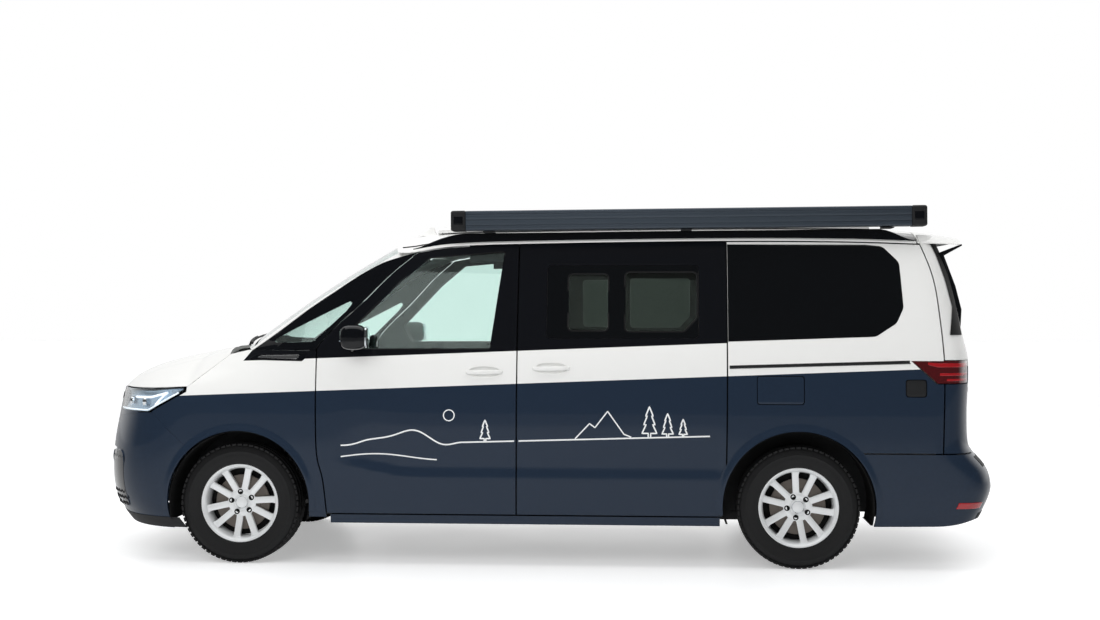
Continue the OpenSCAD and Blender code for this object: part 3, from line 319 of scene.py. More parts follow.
def nose_line(s: float) -> float:
    """Returns the height of the joint below the nose panel."""
    return 792 + 54 * min(1.0, abs(s) / 0.62) ** 2


def belt(x: float) -> float:
    """Returns the lower edge of the black window band."""
    return BELT_AT[1] + LINE_RISE * (x - BELT_AT[0])


def split(x: float) -> float:
    """Returns the line between the white and the blue paint."""
    return SPLIT_AT[1] + LINE_RISE * (x - SPLIT_AT[0])


DOOR_WINDOW = ((FRONT_AXLE + 690, BELT_Z + 4), (B_POST - 150, BELT_Z + 6), (B_POST - 78, DOOR_TOP_Z - 42),
    (FRONT_AXLE + 1068, DOOR_TOP_Z - 78), (FRONT_AXLE + 905, 1588), (FRONT_AXLE + 742, 1424),
    (FRONT_AXLE + 640, 1322))
QUARTER_WINDOW = ((C_POST + 14, BELT_Z + 48), (REAR_AXLE + 420, BELT_Z + 78), (REAR_AXLE + 530, BELT_Z + 150),
    (REAR_AXLE + 570, BELT_Z + 230), (REAR_AXLE + 556, DOOR_TOP_Z - 110), (REAR_AXLE + 470, DOOR_TOP_Z - 22),
    (REAR_AXLE + 380, DOOR_TOP_Z - 12), (C_POST + 14, DOOR_TOP_Z - 6))
QUARTER_BAND = ((C_POST - 90, BELT_Z + 42), (REAR_AXLE + 420, BELT_Z + 72), (REAR_AXLE + 535, BELT_Z + 146),
    (REAR_AXLE + 575, BELT_Z + 230), (REAR_AXLE + 561, DOOR_TOP_Z - 106), (REAR_AXLE + 474, DOOR_TOP_Z - 16),
    (REAR_AXLE + 380, DOOR_TOP_Z - 6), (C_POST - 90, DOOR_TOP_Z - 1))
FRONT_QUARTER = ((FRONT_AXLE + 150, BELT_Z + 34), (FRONT_AXLE + 420, BELT_Z + 40), (FRONT_AXLE + 600, 1420),
    (FRONT_AXLE + 660, 1498))
SLIDER_PANES = (((211, 1315), (428, 1315), (428, 1625), (211, 1625)),
    ((527, 1311), (850, 1311), (921, 1385), (921, 1635), (527, 1635)))


# meshes


def grid(place: Callable[[float, float], Point], nu: int, nv: int) -> Rows:
    """Returns rows of points place(u, v) for u and v from 0 to 1."""
    return [[place(i / nu, j / nv) for j in range(nv + 1)] for i in range(nu + 1)]


def make(name: str, points: Iterable[Point], faces: Iterable[Sequence[int]], flip: bool = False) -> Piece:
    """Makes an object at the origin from points in millimetres.

    Args:
        name: the piece's name.
        points: its corners, in millimetres.
        faces: its faces, as indices of corners.
        flip: turns every face round.

    Returns:
        The new object, linked to the scene.
    """
    mesh = bpy.data.meshes.new(name)
    mesh.from_pydata([(p[0] * MM, p[1] * MM, p[2] * MM) for p in points], [],
        [tuple(reversed(f)) if flip else tuple(f) for f in faces])
    mesh.validate()
    obj = bpy.data.objects.new(name, mesh)
    bpy.context.scene.collection.objects.link(obj)
    return obj


def shell(name: str, outer: Rows, inner: Rows) -> Piece:
    """Makes a closed sheet between an outer and an inner grid whose rows x columns face outwards."""
    rows, cols = len(outer), len(outer[0])
    n = rows * cols
    faces: list[tuple[int, ...]] = []
    for i in range(rows - 1):
        for j in range(cols - 1):
            a = i * cols + j
            faces += [(a, a + cols, a + cols + 1, a + 1)[::-1],
                (a + n, a + n + cols, a + n + cols + 1, a + n + 1)]
        a, b = i * cols, i * cols + cols - 1
        faces += [(a, a + cols, a + cols + n, a + n), (b + cols, b, b + n, b + cols + n)]
    for j in range(cols - 1):
        a, d = j, (rows - 1) * cols + j
        faces += [(a + 1, a, a + n, a + 1 + n), (d, d + 1, d + 1 + n, d + n)]
    obj = make(name, [p for row in outer for p in row] + [p for row in inner for p in row], faces)
    outward(obj)
    return obj


def slab(name: str, place: Callable[[float, float, float], Point], nu: int, nv: int, outer: float = 0.0,
        inner: float = 1.0) -> Piece:
    """Makes a closed sheet from place(u, v, t), between two values of t."""
    return shell(name, *(grid(lambda u, v: place(u, v, t), nu, nv) for t in (outer, inner)))


def outward(obj: Piece) -> None:
    """Merges doubles and turns every face outwards."""
    bm = bmesh.new()
    bm.from_mesh(obj.data)
    bmesh.ops.remove_doubles(bm, verts=bm.verts, dist=1e-5)
    bmesh.ops.recalc_face_normals(bm, faces=bm.faces)
    bm.to_mesh(obj.data)
    bm.free()


def prism(name: str, outline: Flat, y0: float, y1: float) -> Piece:
    """Makes a prism along Y from an outline in x and z."""
    n = len(outline)
    points = [(x, y0, z) for x, z in outline] + [(x, y1, z) for x, z in outline]
    faces = [tuple(range(n)), tuple(range(2 * n - 1, n - 1, -1))]
    faces += [((i + 1) % n, i, i + n, (i + 1) % n + n) for i in range(n)]
    obj = make(name, points, faces)
    outward(obj)
    return obj


def rounded_outline(points: Flat, r: float, grow: float = 0.0, steps: int = 6) -> Path:
    """Returns a polygon with its corners rounded.

    Args:
        points: the polygon's corners.
        r: the corners' radius.
        grow: how far the outline moves outwards.
        steps: the arcs' segments.

    Returns:
        The rounded outline's points.
    """
    area = sum(a[0] * b[1] - b[0] * a[1] for a, b in zip(points, (*points[1:], points[0])))
    pts = [Vector((p[0], p[1])) for p in (points if area > 0 else points[::-1])]
    n, out = len(pts), []
    for i in range(n):
        p, a, b = pts[i], pts[i - 1], pts[(i + 1) % n]
        u, v = (a - p).normalized(), (b - p).normalized()
        half = math.acos(max(-1.0, min(1.0, u.dot(v)))) / 2
        turn = u.x * v.y - u.y * v.x
        reach = min(r / math.tan(half), 0.48 * (a - p).length, 0.48 * (b - p).length)
        rad = reach * math.tan(half)
        centre = p + (u + v).normalized() * (rad / math.sin(half))
        start, end = p + u * reach - centre, p + v * reach - centre
        a0, a1 = math.atan2(start.y, start.x), math.atan2(end.y, end.x)
        while a1 - a0 > math.pi:
            a1 -= 2 * math.pi
        while a1 - a0 < -math.pi:
            a1 += 2 * math.pi
        bigger = rad + (grow if turn < 0 else -grow)
        out += [(centre.x + bigger * math.cos(mix(a0, a1, k / steps)),
            centre.y + bigger * math.sin(mix(a0, a1, k / steps))) for k in range(steps + 1)]
    return out


def side_cutter(outline: Flat) -> Piece:
    """Makes a cutter that goes through the left side only."""
    return prism("cutter", outline, -1300, -300)


def disc_cutter(x: float, r: float) -> Piece:
    """Makes a cylinder across the van that cuts a wheel arch."""
    outline = [(x + r * math.cos(math.tau * k / 96), ARCH_Z + r * math.sin(math.tau * k / 96))
        for k in range(96)]
    return prism("cutter", outline, -1200, 1200)


def cut(obj: Piece, *cutters: Piece, keep: bool = False) -> Piece:
    """Takes the cutters out of a piece, or keeps what lies in them, and removes the cutters."""
    for cutter in cutters:
        mod = obj.modifiers.new("cut", "BOOLEAN")
        mod.operation = "INTERSECT" if keep else "DIFFERENCE"
        mod.solver = "EXACT"
        mod.object = cutter
        freeze(obj)
        bpy.data.objects.remove(cutter)
    return obj


def freeze(obj: Piece) -> Piece:
    """Turns a piece with its modifiers into a plain mesh."""
    graph = bpy.context.evaluated_depsgraph_get()
    mesh = bpy.data.meshes.new_from_object(obj.evaluated_get(graph), depsgraph=graph)
    obj.modifiers.clear()
    old, obj.data = obj.data, mesh
    bpy.data.meshes.remove(old)
    return obj


def soften(obj: Piece, angle: float = 32.0) -> Piece:
    """Shades a piece smoothly up to an angle in degrees."""
    obj.data.shade_smooth()
    obj.data.set_sharp_from_angle(angle=math.radians(angle))
    return obj


def bevelled(obj: Piece, width: float, segments: int = 2, angle: float = 35.0) -> Piece:
    """Rounds a piece's sharp edges by a width in millimetres."""
    mod = obj.modifiers.new("bevel", "BEVEL")
    mod.width, mod.segments, mod.limit_method = width * MM, segments, "ANGLE"
    mod.angle_limit = math.radians(angle)
    mod.harden_normals = False
    return soften(freeze(obj), 50)


def mirrored(obj: Piece, name: str) -> Piece:
    """Makes the right-hand copy of a left-hand piece."""
    mesh = obj.data.copy()
    mesh.transform(Matrix.Diagonal((1, -1, 1, 1)))
    mesh.flip_normals()
    twin = bpy.data.objects.new(name, mesh)
    bpy.context.scene.collection.objects.link(twin)
    return twin


def joined(name: str, parts: Sequence[Piece]) -> Piece:
    """Joins pieces, with their materials, into the first one and renames it."""
    with bpy.context.temp_override(active_object=parts[0], selected_editable_objects=list(parts),
                                   selected_objects=list(parts)):
        bpy.ops.object.join()
    parts[0].name = name
    return parts[0]


def side_rows(front: Edge, rear: Edge, low: float, high: Edge, nu: int, nv: int, depth: float) -> Rows:
    """Returns a grid on the left side between two shut lines, depth below the sheet."""

    def place(u: float, v: float) -> Point:
        """Returns one point of the grid."""
        z = mix(low, high(u), v)
        x = mix(front(z), rear(z), u)
        return x, -skin_y(x, z) + depth, z

    return grid(place, nu, nv)


def side_sheet(name: str, front: Edge, rear: Edge, low: float, high: Edge, nu: int, nv: int, depth: float,
        thick: float) -> Piece:
    """Makes a closed sheet on the left side between two shut lines."""
    return shell(name, side_rows(front, rear, low, high, nu, nv, depth),
        side_rows(front, rear, low, high, nu, nv, depth + thick))


def overlay(name: str, outline: Flat, depth: float, thick: float, step: float = 25.0) -> Piece:
    """Makes a sheet on the left side inside an outline in x and z, depth below the outer sheet."""
    x0, x1 = min(p[0] for p in outline) - 5, max(p[0] for p in outline) + 5
    z0, z1 = min(p[1] for p in outline) - 5, max(p[1] for p in outline) + 5
    nu, nv = max(2, int((x1 - x0) / step)), max(2, int((z1 - z0) / step))
    sheet = side_sheet(name, lambda z: x0, lambda z: x1, z0, lambda u: z1, nu, nv, depth, thick)
    return cut(sheet, side_cutter(outline), keep=True)


def lathe(name: str, profile: Flat, centre: Point, steps: int = 96, closed: bool = False) -> Piece:
    """Makes a piece turned about the Y axis through a centre.

    Args:
        name: the piece's name.
        profile: its radius and Y, from the centre.
        centre: the middle of the turned piece.
        steps: segments round it.
        closed: joins the profile's end to its start.

    Returns:
        The new object.
    """
    n = len(profile)
    points = [(centre[0] + r * math.cos(math.tau * i / steps), centre[1] + y,
        centre[2] + r * math.sin(math.tau * i / steps)) for i in range(steps) for r, y in profile]
    faces = []
    for i in range(steps):
        a, b = i * n, (i + 1) % steps * n
        faces += [(a + j, a + (j + 1) % n, b + (j + 1) % n, b + j) for j in range(n if closed else n - 1)]
    obj = make(name, points, faces)
    outward(obj)
    return soften(obj)


def tube(name: str, path: Sequence[Point], r: float | Sequence[float], sides: int = 12) -> Piece:
    """Makes a round bar along a path, with closed ends."""
    radii = [r] * len(path) if isinstance(r, (int, float)) else list(r)
    pts = [Vector(p) for p in path]
    points: list[Point] = []
    up = Vector((0, 0, 1))
    for i, p in enumerate(pts):
        d = (pts[min(i + 1, len(pts) - 1)] - pts[max(i - 1, 0)]).normalized()
        if abs(d.dot(up)) > 0.95:
            up = Vector((1, 0, 0))
        a = d.cross(up).normalized()
        b = a.cross(d)
        points += [tuple(p + (a * math.cos(math.tau * k / sides)
            + b * math.sin(math.tau * k / sides)) * radii[i]) for k in range(sides)]
    faces = [(i * sides + k, i * sides + (k + 1) % sides, (i + 1) * sides + (k + 1) % sides,
        (i + 1) * sides + k) for i in range(len(pts) - 1) for k in range(sides)]
    faces += [tuple(range(sides))[::-1], tuple(range((len(pts) - 1) * sides, len(pts) * sides))]
    obj = make(name, points, faces)
    outward(obj)
    return soften(obj)


def block(name: str, low: Point, high: Point, round_r: float = 6.0, segments: int = 3, turn: float = 0.0,
        pivot: Point | None = None) -> Piece:
    """Makes a moulded block with rounded edges, turned about Y at a pivot."""
    xs, ys, zs = zip(low, high)
    points = [(x, y, z) for x in xs for y in ys for z in zs]
    obj = make(name, points, BOX_FACES)
    outward(obj)
    if turn:
        c = Vector(pivot or low) * MM
        obj.data.transform(Matrix.Translation(c) @ Matrix.Rotation(math.radians(turn), 4,
            "Y") @ Matrix.Translation(-c))
    return bevelled(obj, round_r, segments)


class Scatter:
    """A Geometry Nodes tree that sets one shape on many marked points and turns it along them."""

    def __init__(self, name: str) -> None:
        """Builds the tree with its named inputs."""
        tree = bpy.data.node_groups.new(name, "GeometryNodeTree")
        face = tree.interface
        face.new_socket("Marks", in_out="INPUT", socket_type="NodeSocketGeometry")
        face.new_socket("Shape", in_out="INPUT", socket_type="NodeSocketObject")
        face.new_socket("Size", in_out="INPUT", socket_type="NodeSocketFloat").default_value = 1.0
        face.new_socket("Finish", in_out="INPUT", socket_type="NodeSocketMaterial")
        face.new_socket("Set pieces", in_out="OUTPUT", socket_type="NodeSocketGeometry")
        new, link = tree.nodes.new, tree.links.new
        start, end = new("NodeGroupInput"), new("NodeGroupOutput")
        shape, place = new("GeometryNodeObjectInfo"), new("GeometryNodeInstanceOnPoints")
        turn, real = new("GeometryNodeInputNamedAttribute"), new("GeometryNodeRealizeInstances")
        finish = new("GeometryNodeSetMaterial")
        turn.data_type = "FLOAT_VECTOR"
        turn.inputs["Name"].default_value = "turn"
        link(start.outputs["Marks"], place.inputs["Points"])
        link(start.outputs["Shape"], shape.inputs["Object"])
        link(shape.outputs["Geometry"], place.inputs["Instance"])
        link(turn.outputs["Attribute"], place.inputs["Rotation"])
        link(start.outputs["Size"], place.inputs["Scale"])
        link(place.outputs["Instances"], real.inputs["Geometry"])
        link(real.outputs["Geometry"], finish.inputs["Geometry"])
        link(start.outputs["Finish"], finish.inputs["Material"])
        link(finish.outputs["Geometry"], end.inputs["Set pieces"])
        self.tree = tree

    def set_out(self, name: str, marks: Sequence[tuple[Point, Matrix]], shape: Piece,
            material: bpy.types.Material, size: float = 1.0) -> Piece:
        """Sets the shape on each mark.

        Args:
            name: the new piece's name.
            marks: places in millimetres, each with the turn of the shape there.
            shape: the object to repeat, made about the origin; it is removed afterwards.
            material: the finish of the set pieces.
            size: how much larger the shape is set.

        Returns:
            One plain mesh with every set piece in it.
        """
        obj = make(name, [m[0] for m in marks], [])
        turns = obj.data.attributes.new("turn", "FLOAT_VECTOR", "POINT")
        for i, (_, turn) in enumerate(marks):
            turns.data[i].vector = turn.to_euler()
        mod = obj.modifiers.new("set out", "NODES")
        mod.node_group = self.tree
        ids = {s.name: s.identifier for s in self.tree.interface.items_tree if s.in_out == "INPUT"}
        mod[ids["Shape"]], mod[ids["Size"]], mod[ids["Finish"]] = shape, float(size), material
        freeze(obj)
        bpy.data.objects.remove(shape)
        return obj


# finishes


def linear(hex_colour: str, alpha: float = 1.0) -> tuple[float, float, float, float]:
    """Returns an sRGB hex colour as linear values."""
    parts = [int(hex_colour[i:i + 2], 16) / 255 for i in (1, 3, 5)]
    r, g, b = (c / 12.92 if c <= 0.04045 else ((c + 0.055) / 1.055) ** 2.4 for c in parts)
    return r, g, b, alpha


def add(tree: Tree, kind: str, settings: dict[str, object] | None = None,
        values: dict[str | int, object] | None = None, links: dict[str | int,
        Socket] | None = None) -> bpy.types.Node:
    """Adds a node with its settings, socket values and links.

    Args:
        tree: the material's node tree.
        kind: the node's type name.
        settings: the node's own properties.
        values: socket values by name or index.
        links: sockets that feed its inputs, by name or index.

    Returns:
        The new node.
    """
    node = tree.nodes.new(kind)
    for key, value in (settings or {}).items():
        setattr(node, key, value)
    for key, value in (values or {}).items():
        node.inputs[key].default_value = value
    for key, socket in (links or {}).items():
        tree.links.new(socket, node.inputs[key])
    return node


@dataclass(frozen=True)
class Finish:
    """A surface finish: its colour, how it shines and the fine pattern that its making leaves."""

    name: str
    colour: str
    roughness: float
    metallic: float = 0.0
    coat: float = 0.0
    sheen: float = 0.0
    ior: float = 1.5
    transmission: float = 0.0
    alpha: float = 1.0
    glow: float = 0.0
    grain_mm: float = 3.0
    mottle: float = 0.04
    bump_mm: float = 0.05
    slot: str = "black_plastic"

    def shader(self, mat: bpy.types.Material) -> tuple[Tree, bpy.types.Node, Socket]:
        """Sets up the shader with this finish's plain values.

        Returns:
            The tree, the shader and the Object coordinates.
        """
        mat.use_nodes = True
        tree = mat.node_tree
        shader = tree.nodes["Principled BSDF"]
        for key, value in (("Metallic", self.metallic), ("IOR", self.ior), ("Coat Weight", self.coat),
                ("Coat Roughness", 0.04), ("Sheen Weight", self.sheen), ("Alpha", self.alpha),
                ("Transmission Weight", self.transmission), ("Roughness", self.roughness)):
            shader.inputs[key].default_value = value
        if self.glow:
            shader.inputs["Emission Color"].default_value = linear(self.colour)
            shader.inputs["Emission Strength"].default_value = self.glow
        return tree, shader, add(tree, "ShaderNodeTexCoord").outputs["Object"]

    def colours(self, tree: Tree, place: Socket) -> Socket:
        """Returns the finish's colour with a faint mottle at its grain's scale."""
        noise = add(tree, "ShaderNodeTexNoise", values={"Scale": 1000 / (self.grain_mm * 8), "Detail": 3.0},
            links={"Vector": place})
        r, g, b, _ = linear(self.colour)
        lo, hi = 1 - self.mottle, 1 + self.mottle
        return add(tree, "ShaderNodeMix", {"data_type": "RGBA"},
            {6: (r * lo, g * lo, b * lo, 1), 7: (r * hi, g * hi, b * hi, 1)},
            {0: noise.outputs["Fac"]}).outputs[2]

    def grain(self, tree: Tree, place: Socket) -> Socket:
        """Returns the height of the finish's fine grain."""
        return add(tree, "ShaderNodeTexNoise", values={"Scale": 1000 / self.grain_mm, "Detail": 2.0},
            links={"Vector": place}).outputs["Fac"]

    def material(self) -> bpy.types.Material:
        """Builds the material."""
        mat = bpy.data.materials.new(self.name)
        tree, shader, place = self.shader(mat)
        tree.links.new(self.colours(tree, place), shader.inputs["Base Color"])
        height = self.grain(tree, place)
        bump = add(tree, "ShaderNodeBump", values={"Distance": self.bump_mm * MM, "Strength": 0.6},
            links={"Height": height})
        tree.links.new(bump.outputs["Normal"], shader.inputs["Normal"])
        if not self.transmission:
            rough = add(tree, "ShaderNodeMapRange", values={"To Min": max(0.02, self.roughness * 0.85),
                "To Max": min(1.0, self.roughness * 1.15)}, links={"Value": height})
            tree.links.new(rough.outputs["Result"], shader.inputs["Roughness"])
        return mat


@dataclass(frozen=True)
class CoachPaint(Finish):
    """Sprayed and lacquered body paint, white above a rising line and blue below it."""

    lower: str = "#1f2c3d"
    band: str = "#0b0d12"
    banded: bool = False
    band_from: tuple[float, float] | None = None

    def above(self, tree: Tree, axes: bpy.types.Node, at: tuple[float, float], rise: float,
            along: str = "Z") -> Socket:
        """Returns 1 above a straight line through a point in x and z, in millimetres."""
        slope = add(tree, "ShaderNodeMath", {"operation": "MULTIPLY_ADD"},
            {1: -rise, 2: (rise * at[0] - at[1]) * MM}, {0: axes.outputs["X"]})
        height = add(tree, "ShaderNodeMath", {"operation": "ADD"},
            links={0: slope.outputs[0], 1: axes.outputs[along]})
        return add(tree, "ShaderNodeMapRange", values={"From Min": -0.0004, "From Max": 0.0004},
            links={"Value": height.outputs[0]}).outputs["Result"]

    def colours(self, tree: Tree, place: Socket) -> Socket:
        """Returns white, blue and, on doors and wings, the black band round the windows."""
        axes = add(tree, "ShaderNodeSeparateXYZ", links={0: place})
        flakes = add(tree, "ShaderNodeTexNoise", values={"Scale": 420.0, "Detail": 4.0},
            links={"Vector": place})
        r, g, b, _ = linear(self.lower)
        blue = add(tree, "ShaderNodeMix", {"data_type": "RGBA"},
            {6: (r * 0.86, g * 0.86, b * 0.86, 1), 7: (r * 1.14, g * 1.14, b * 1.14, 1)},
            {0: flakes.outputs["Fac"]})
        upper = self.above(tree, axes, SPLIT_AT, LINE_RISE)
        both = add(tree, "ShaderNodeMix", {"data_type": "RGBA"}, {7: linear(self.colour)},
            {0: upper, 6: blue.outputs[2]})
        if not self.banded:
            return both.outputs[2]
        mask = self.above(tree, axes, BELT_AT, LINE_RISE)
        if self.band_from:
            x0, z0 = self.band_from
            behind = add(tree, "ShaderNodeMath", {"operation": "MULTIPLY_ADD"},
                {1: -0.75, 2: (0.75 * z0 - x0) * MM}, {0: axes.outputs["Z"]})
            reach = add(tree, "ShaderNodeMath", {"operation": "ADD"},
                links={0: behind.outputs[0], 1: axes.outputs["X"]})
            step = add(tree, "ShaderNodeMath", {"operation": "GREATER_THAN"}, {1: 0.0}, {0: reach.outputs[0]})
            mask = add(tree, "ShaderNodeMath", {"operation": "MULTIPLY"},
                links={0: mask, 1: step.outputs[0]}).outputs[0]
        return add(tree, "ShaderNodeMix", {"data_type": "RGBA"}, {7: linear(self.band)},
            {0: mask, 6: both.outputs[2]}).outputs[2]


@dataclass(frozen=True)
class WovenCloth(Finish):
    """Woven seat cloth whose threads cross."""

    thread_mm: float = 2.4

    def grain(self, tree: Tree, place: Socket) -> Socket:
        """Returns the height of a plain weave, drawn coarser than real so that it shows."""
        waves = [add(tree, "ShaderNodeTexWave", {"bands_direction": axis},
            {"Scale": 1000 / self.thread_mm / 6.28, "Distortion": 0.6}, {"Vector": place}).outputs["Fac"]
            for axis in ("Y", "Z")]
        return add(tree, "ShaderNodeMath", {"operation": "MAXIMUM"},
            links={0: waves[0], 1: waves[1]}).outputs[0]


@dataclass(frozen=True)
class BrushedMetal(Finish):
    """Extruded aluminium whose drawing lines run along X."""

    line_mm: float = 1.2

    def grain(self, tree: Tree, place: Socket) -> Socket:
        """Returns the height of the drawing lines."""
        far = add(tree, "ShaderNodeMapping", {"vector_type": "POINT"},
            {"Scale": (4.0, 1000 / self.line_mm, 1000 / self.line_mm)}, {"Vector": place})
        return add(tree, "ShaderNodeTexNoise", values={"Scale": 1.0, "Detail": 2.0},
            links={"Vector": far.outputs["Vector"]}).outputs["Fac"]


@dataclass(frozen=True)
class WoodLaminate(Finish):
    """Furniture board with a printed wood figure under its melamine face."""

    figure_mm: float = 40.0

    def colours(self, tree: Tree, place: Socket) -> Socket:
        """Returns the long, faint figure of the wood."""
        along = add(tree, "ShaderNodeMapping", {"vector_type": "POINT"}, {"Scale": (1.2, 14.0, 14.0)},
            {"Vector": place})
        figure = add(tree, "ShaderNodeTexNoise", values={"Scale": 1000 / self.figure_mm / 10, "Detail": 6.0},
            links={"Vector": along.outputs["Vector"]})
        r, g, b, _ = linear(self.colour)
        return add(tree, "ShaderNodeMix", {"data_type": "RGBA"},
            {6: (r * 0.72, g * 0.7, b * 0.66, 1), 7: (r * 1.15, g * 1.15, b * 1.15, 1)},
            {0: figure.outputs["Fac"]}).outputs[2]


class Stock(Enum):
    """Every finish on the van."""

    # lacquer over colour coats: a hard, clear gloss with faint orange peel, and fine flakes in the blue
    BODY = CoachPaint("two_tone_lacquer", "#eeeeec", 0.32, coat=0.5, ior=1.2, grain_mm=14, bump_mm=0.02,
        slot="paint_white")
    DOORS = CoachPaint("two_tone_lacquer_doors", "#eeeeec", 0.32, coat=0.5, ior=1.2, grain_mm=14,
        bump_mm=0.02, banded=True, slot="paint_blue")
    WINGS = CoachPaint("two_tone_lacquer_wings", "#eeeeec", 0.32, coat=0.5, ior=1.2, grain_mm=14,
        bump_mm=0.02, banded=True, band_from=(-1640.0, 1135.0), slot="paint_white")
    WHITE = Finish("white_lacquer", "#eeeeec", 0.32, coat=0.5, ior=1.2, grain_mm=14, bump_mm=0.02,
        mottle=0.01, slot="paint_white")
    BLUE = Finish("slate_blue_lacquer", "#1f2c3d", 0.32, coat=0.5, ior=1.2, grain_mm=2.4, bump_mm=0.02,
        mottle=0.12, slot="paint_blue")
    # black lacquered ABS: mirror-smooth and deep
    PIANO = Finish("black_lacquered_abs", "#090b0f", 0.12, coat=0.6, ior=1.2, grain_mm=16, bump_mm=0.01,
        slot="gloss_black")
    # grained polypropylene: a dull, pebbled moulding
    BLACK = Finish("grained_polypropylene", "#17181a", 0.62, grain_mm=1.6, bump_mm=0.12)
    # dull black felt of the arch linings, the grille's backing and the flaps' wells; the same black is
    # painted shade in the cowl's air slots and inside each wheel
    LINER = Finish("felted_arch_liner", "#0b0b0c", 0.95, grain_mm=2.5, bump_mm=0.4)
    # rubber: nearly matt, dusty where it has been rolling
    TYRE = Finish("vulcanised_rubber", "#171718", 0.72, grain_mm=2.0, bump_mm=0.15, mottle=0.14)
    SEAL = Finish("rubber_seal", "#0d0d0e", 0.7, grain_mm=2.0, bump_mm=0.08)
    # lacquered cast aluminium: bright silver with a soft, slightly rough gloss
    ALLOY = Finish("lacquered_cast_alloy", "#f3f5f6", 0.36, metallic=0.3, coat=0.6, grain_mm=1.2,
        bump_mm=0.02, slot="alloy")
    DISC = Finish("ground_brake_iron", "#77706a", 0.42, metallic=0.85, grain_mm=0.8, bump_mm=0.04,
        slot="engine_metal")
    # flat and near-black: painted shade for the recess round each wheel bolt, and the real black steel of the
    # hob's rings
    BOLT = Finish("blackened_steel", "#0c0c0d", 0.7, ior=1.3, slot="engine_metal")
    CHROME = Finish("polished_chrome", "#e6e8ea", 0.08, metallic=1.0, grain_mm=10, bump_mm=0.005, mottle=0.01,
        slot="alloy")
    # anodised extrusion in dark slate: satin, with faint drawing lines
    AWNING = BrushedMetal("anodised_awning_extrusion", "#3d4650", 0.38, metallic=0.35, bump_mm=0.02,
        slot="awning_grey")
    # toughened glass with a slight green cast, and privacy glass dyed nearly black
    CLEAR = Finish("toughened_glass", "#e2f4ef", 0.01, transmission=1.0, ior=1.45, bump_mm=0.0, grain_mm=60,
        mottle=0.01, slot="clear_glass")
    PRIVACY = Finish("privacy_glass", "#626c66", 0.02, transmission=1.0, ior=1.45, bump_mm=0.0, grain_mm=60,
        mottle=0.02, slot="tinted_glass")
    DARK = Finish("black_privacy_glass", "#07090c", 0.03, bump_mm=0.0, grain_mm=60, slot="tinted_glass")
    LENS = Finish("polycarbonate_lens", "#eef4f8", 0.01, transmission=1.0, ior=1.45, bump_mm=0.0, grain_mm=60,
        slot="lamp_clear")
    RED = Finish("red_acrylic_lens", "#a3121b", 0.08, coat=1.0, grain_mm=6, bump_mm=0.05, mottle=0.1,
        slot="lamp_red")
    DEEP_RED = Finish("dark_red_acrylic", "#4b070d", 0.1, coat=1.0, grain_mm=6, bump_mm=0.05, mottle=0.1,
        slot="lamp_red")
    LIGHT = Finish("lit_light_guide", "#eef5fb", 0.3, glow=0.55, slot="lamp_clear")
    REFLECTOR = Finish("metallised_reflector", "#b9c6d2", 0.16, metallic=0.9, grain_mm=5, bump_mm=0.1,
        slot="lamp_clear")
    MIRROR = Finish("silvered_glass", "#d7dde0", 0.02, metallic=1.0, bump_mm=0.0, grain_mm=60,
        slot="gloss_black")
    VINYL = Finish("cut_white_vinyl", "#f0f2f3", 0.4, grain_mm=9, bump_mm=0.01, mottle=0.01,
        slot="paint_white")
    PLATE = Finish("reflective_plate_sheet", "#dadbd8", 0.4, grain_mm=1.5, bump_mm=0.04, slot="paint_white")
    # cabin trim
    DASH = Finish("slush_moulded_dashboard", "#1c1d20", 0.7, grain_mm=1.4, bump_mm=0.15, slot="cabin_plastic")
    TRIM = Finish("moulded_cabin_trim", "#8e8d89", 0.75, grain_mm=1.8, bump_mm=0.1, slot="cabin_plastic")
    SEAT = WovenCloth("woven_seat_cloth", "#3b3f45", 0.9, sheen=0.3, bump_mm=0.5, slot="seat_fabric")
    SEAM = Finish("seat_piping", "#1e2023", 0.8, sheen=0.2, slot="seat_fabric")
    BOARD = WoodLaminate("wood_faced_board", "#b5a48c", 0.45, grain_mm=1.2, bump_mm=0.03, slot="furniture")
    STONE = Finish("laminate_worktop", "#c9c8c4", 0.35, grain_mm=3.0, mottle=0.15, bump_mm=0.02,
        slot="furniture")
    STEEL = Finish("primed_chassis_steel", "#1d1e20", 0.6, metallic=0.2, grain_mm=4, bump_mm=0.1)
    IRON = Finish("cast_engine_iron", "#3b3c3e", 0.65, metallic=0.6, grain_mm=2, bump_mm=0.3)


class Paintshop:
    """Makes each finish once and puts it on pieces."""

    def __init__(self) -> None:
        """Starts with no finish made."""
        self.made: dict[Stock, bpy.types.Material] = {}

    def get(self, stock: Stock) -> bpy.types.Material:
        """Returns the material of a finish."""
        if stock not in self.made:
            self.made[stock] = stock.value.material()
        return self.made[stock]

    def dress(self, obj: Piece, stock: Stock) -> Piece:
        """Covers the whole piece with one finish."""
        obj.data.materials.clear()
        obj.data.materials.append(self.get(stock))
        obj.data.polygons.foreach_set("material_index", [0] * len(obj.data.polygons))
        return obj


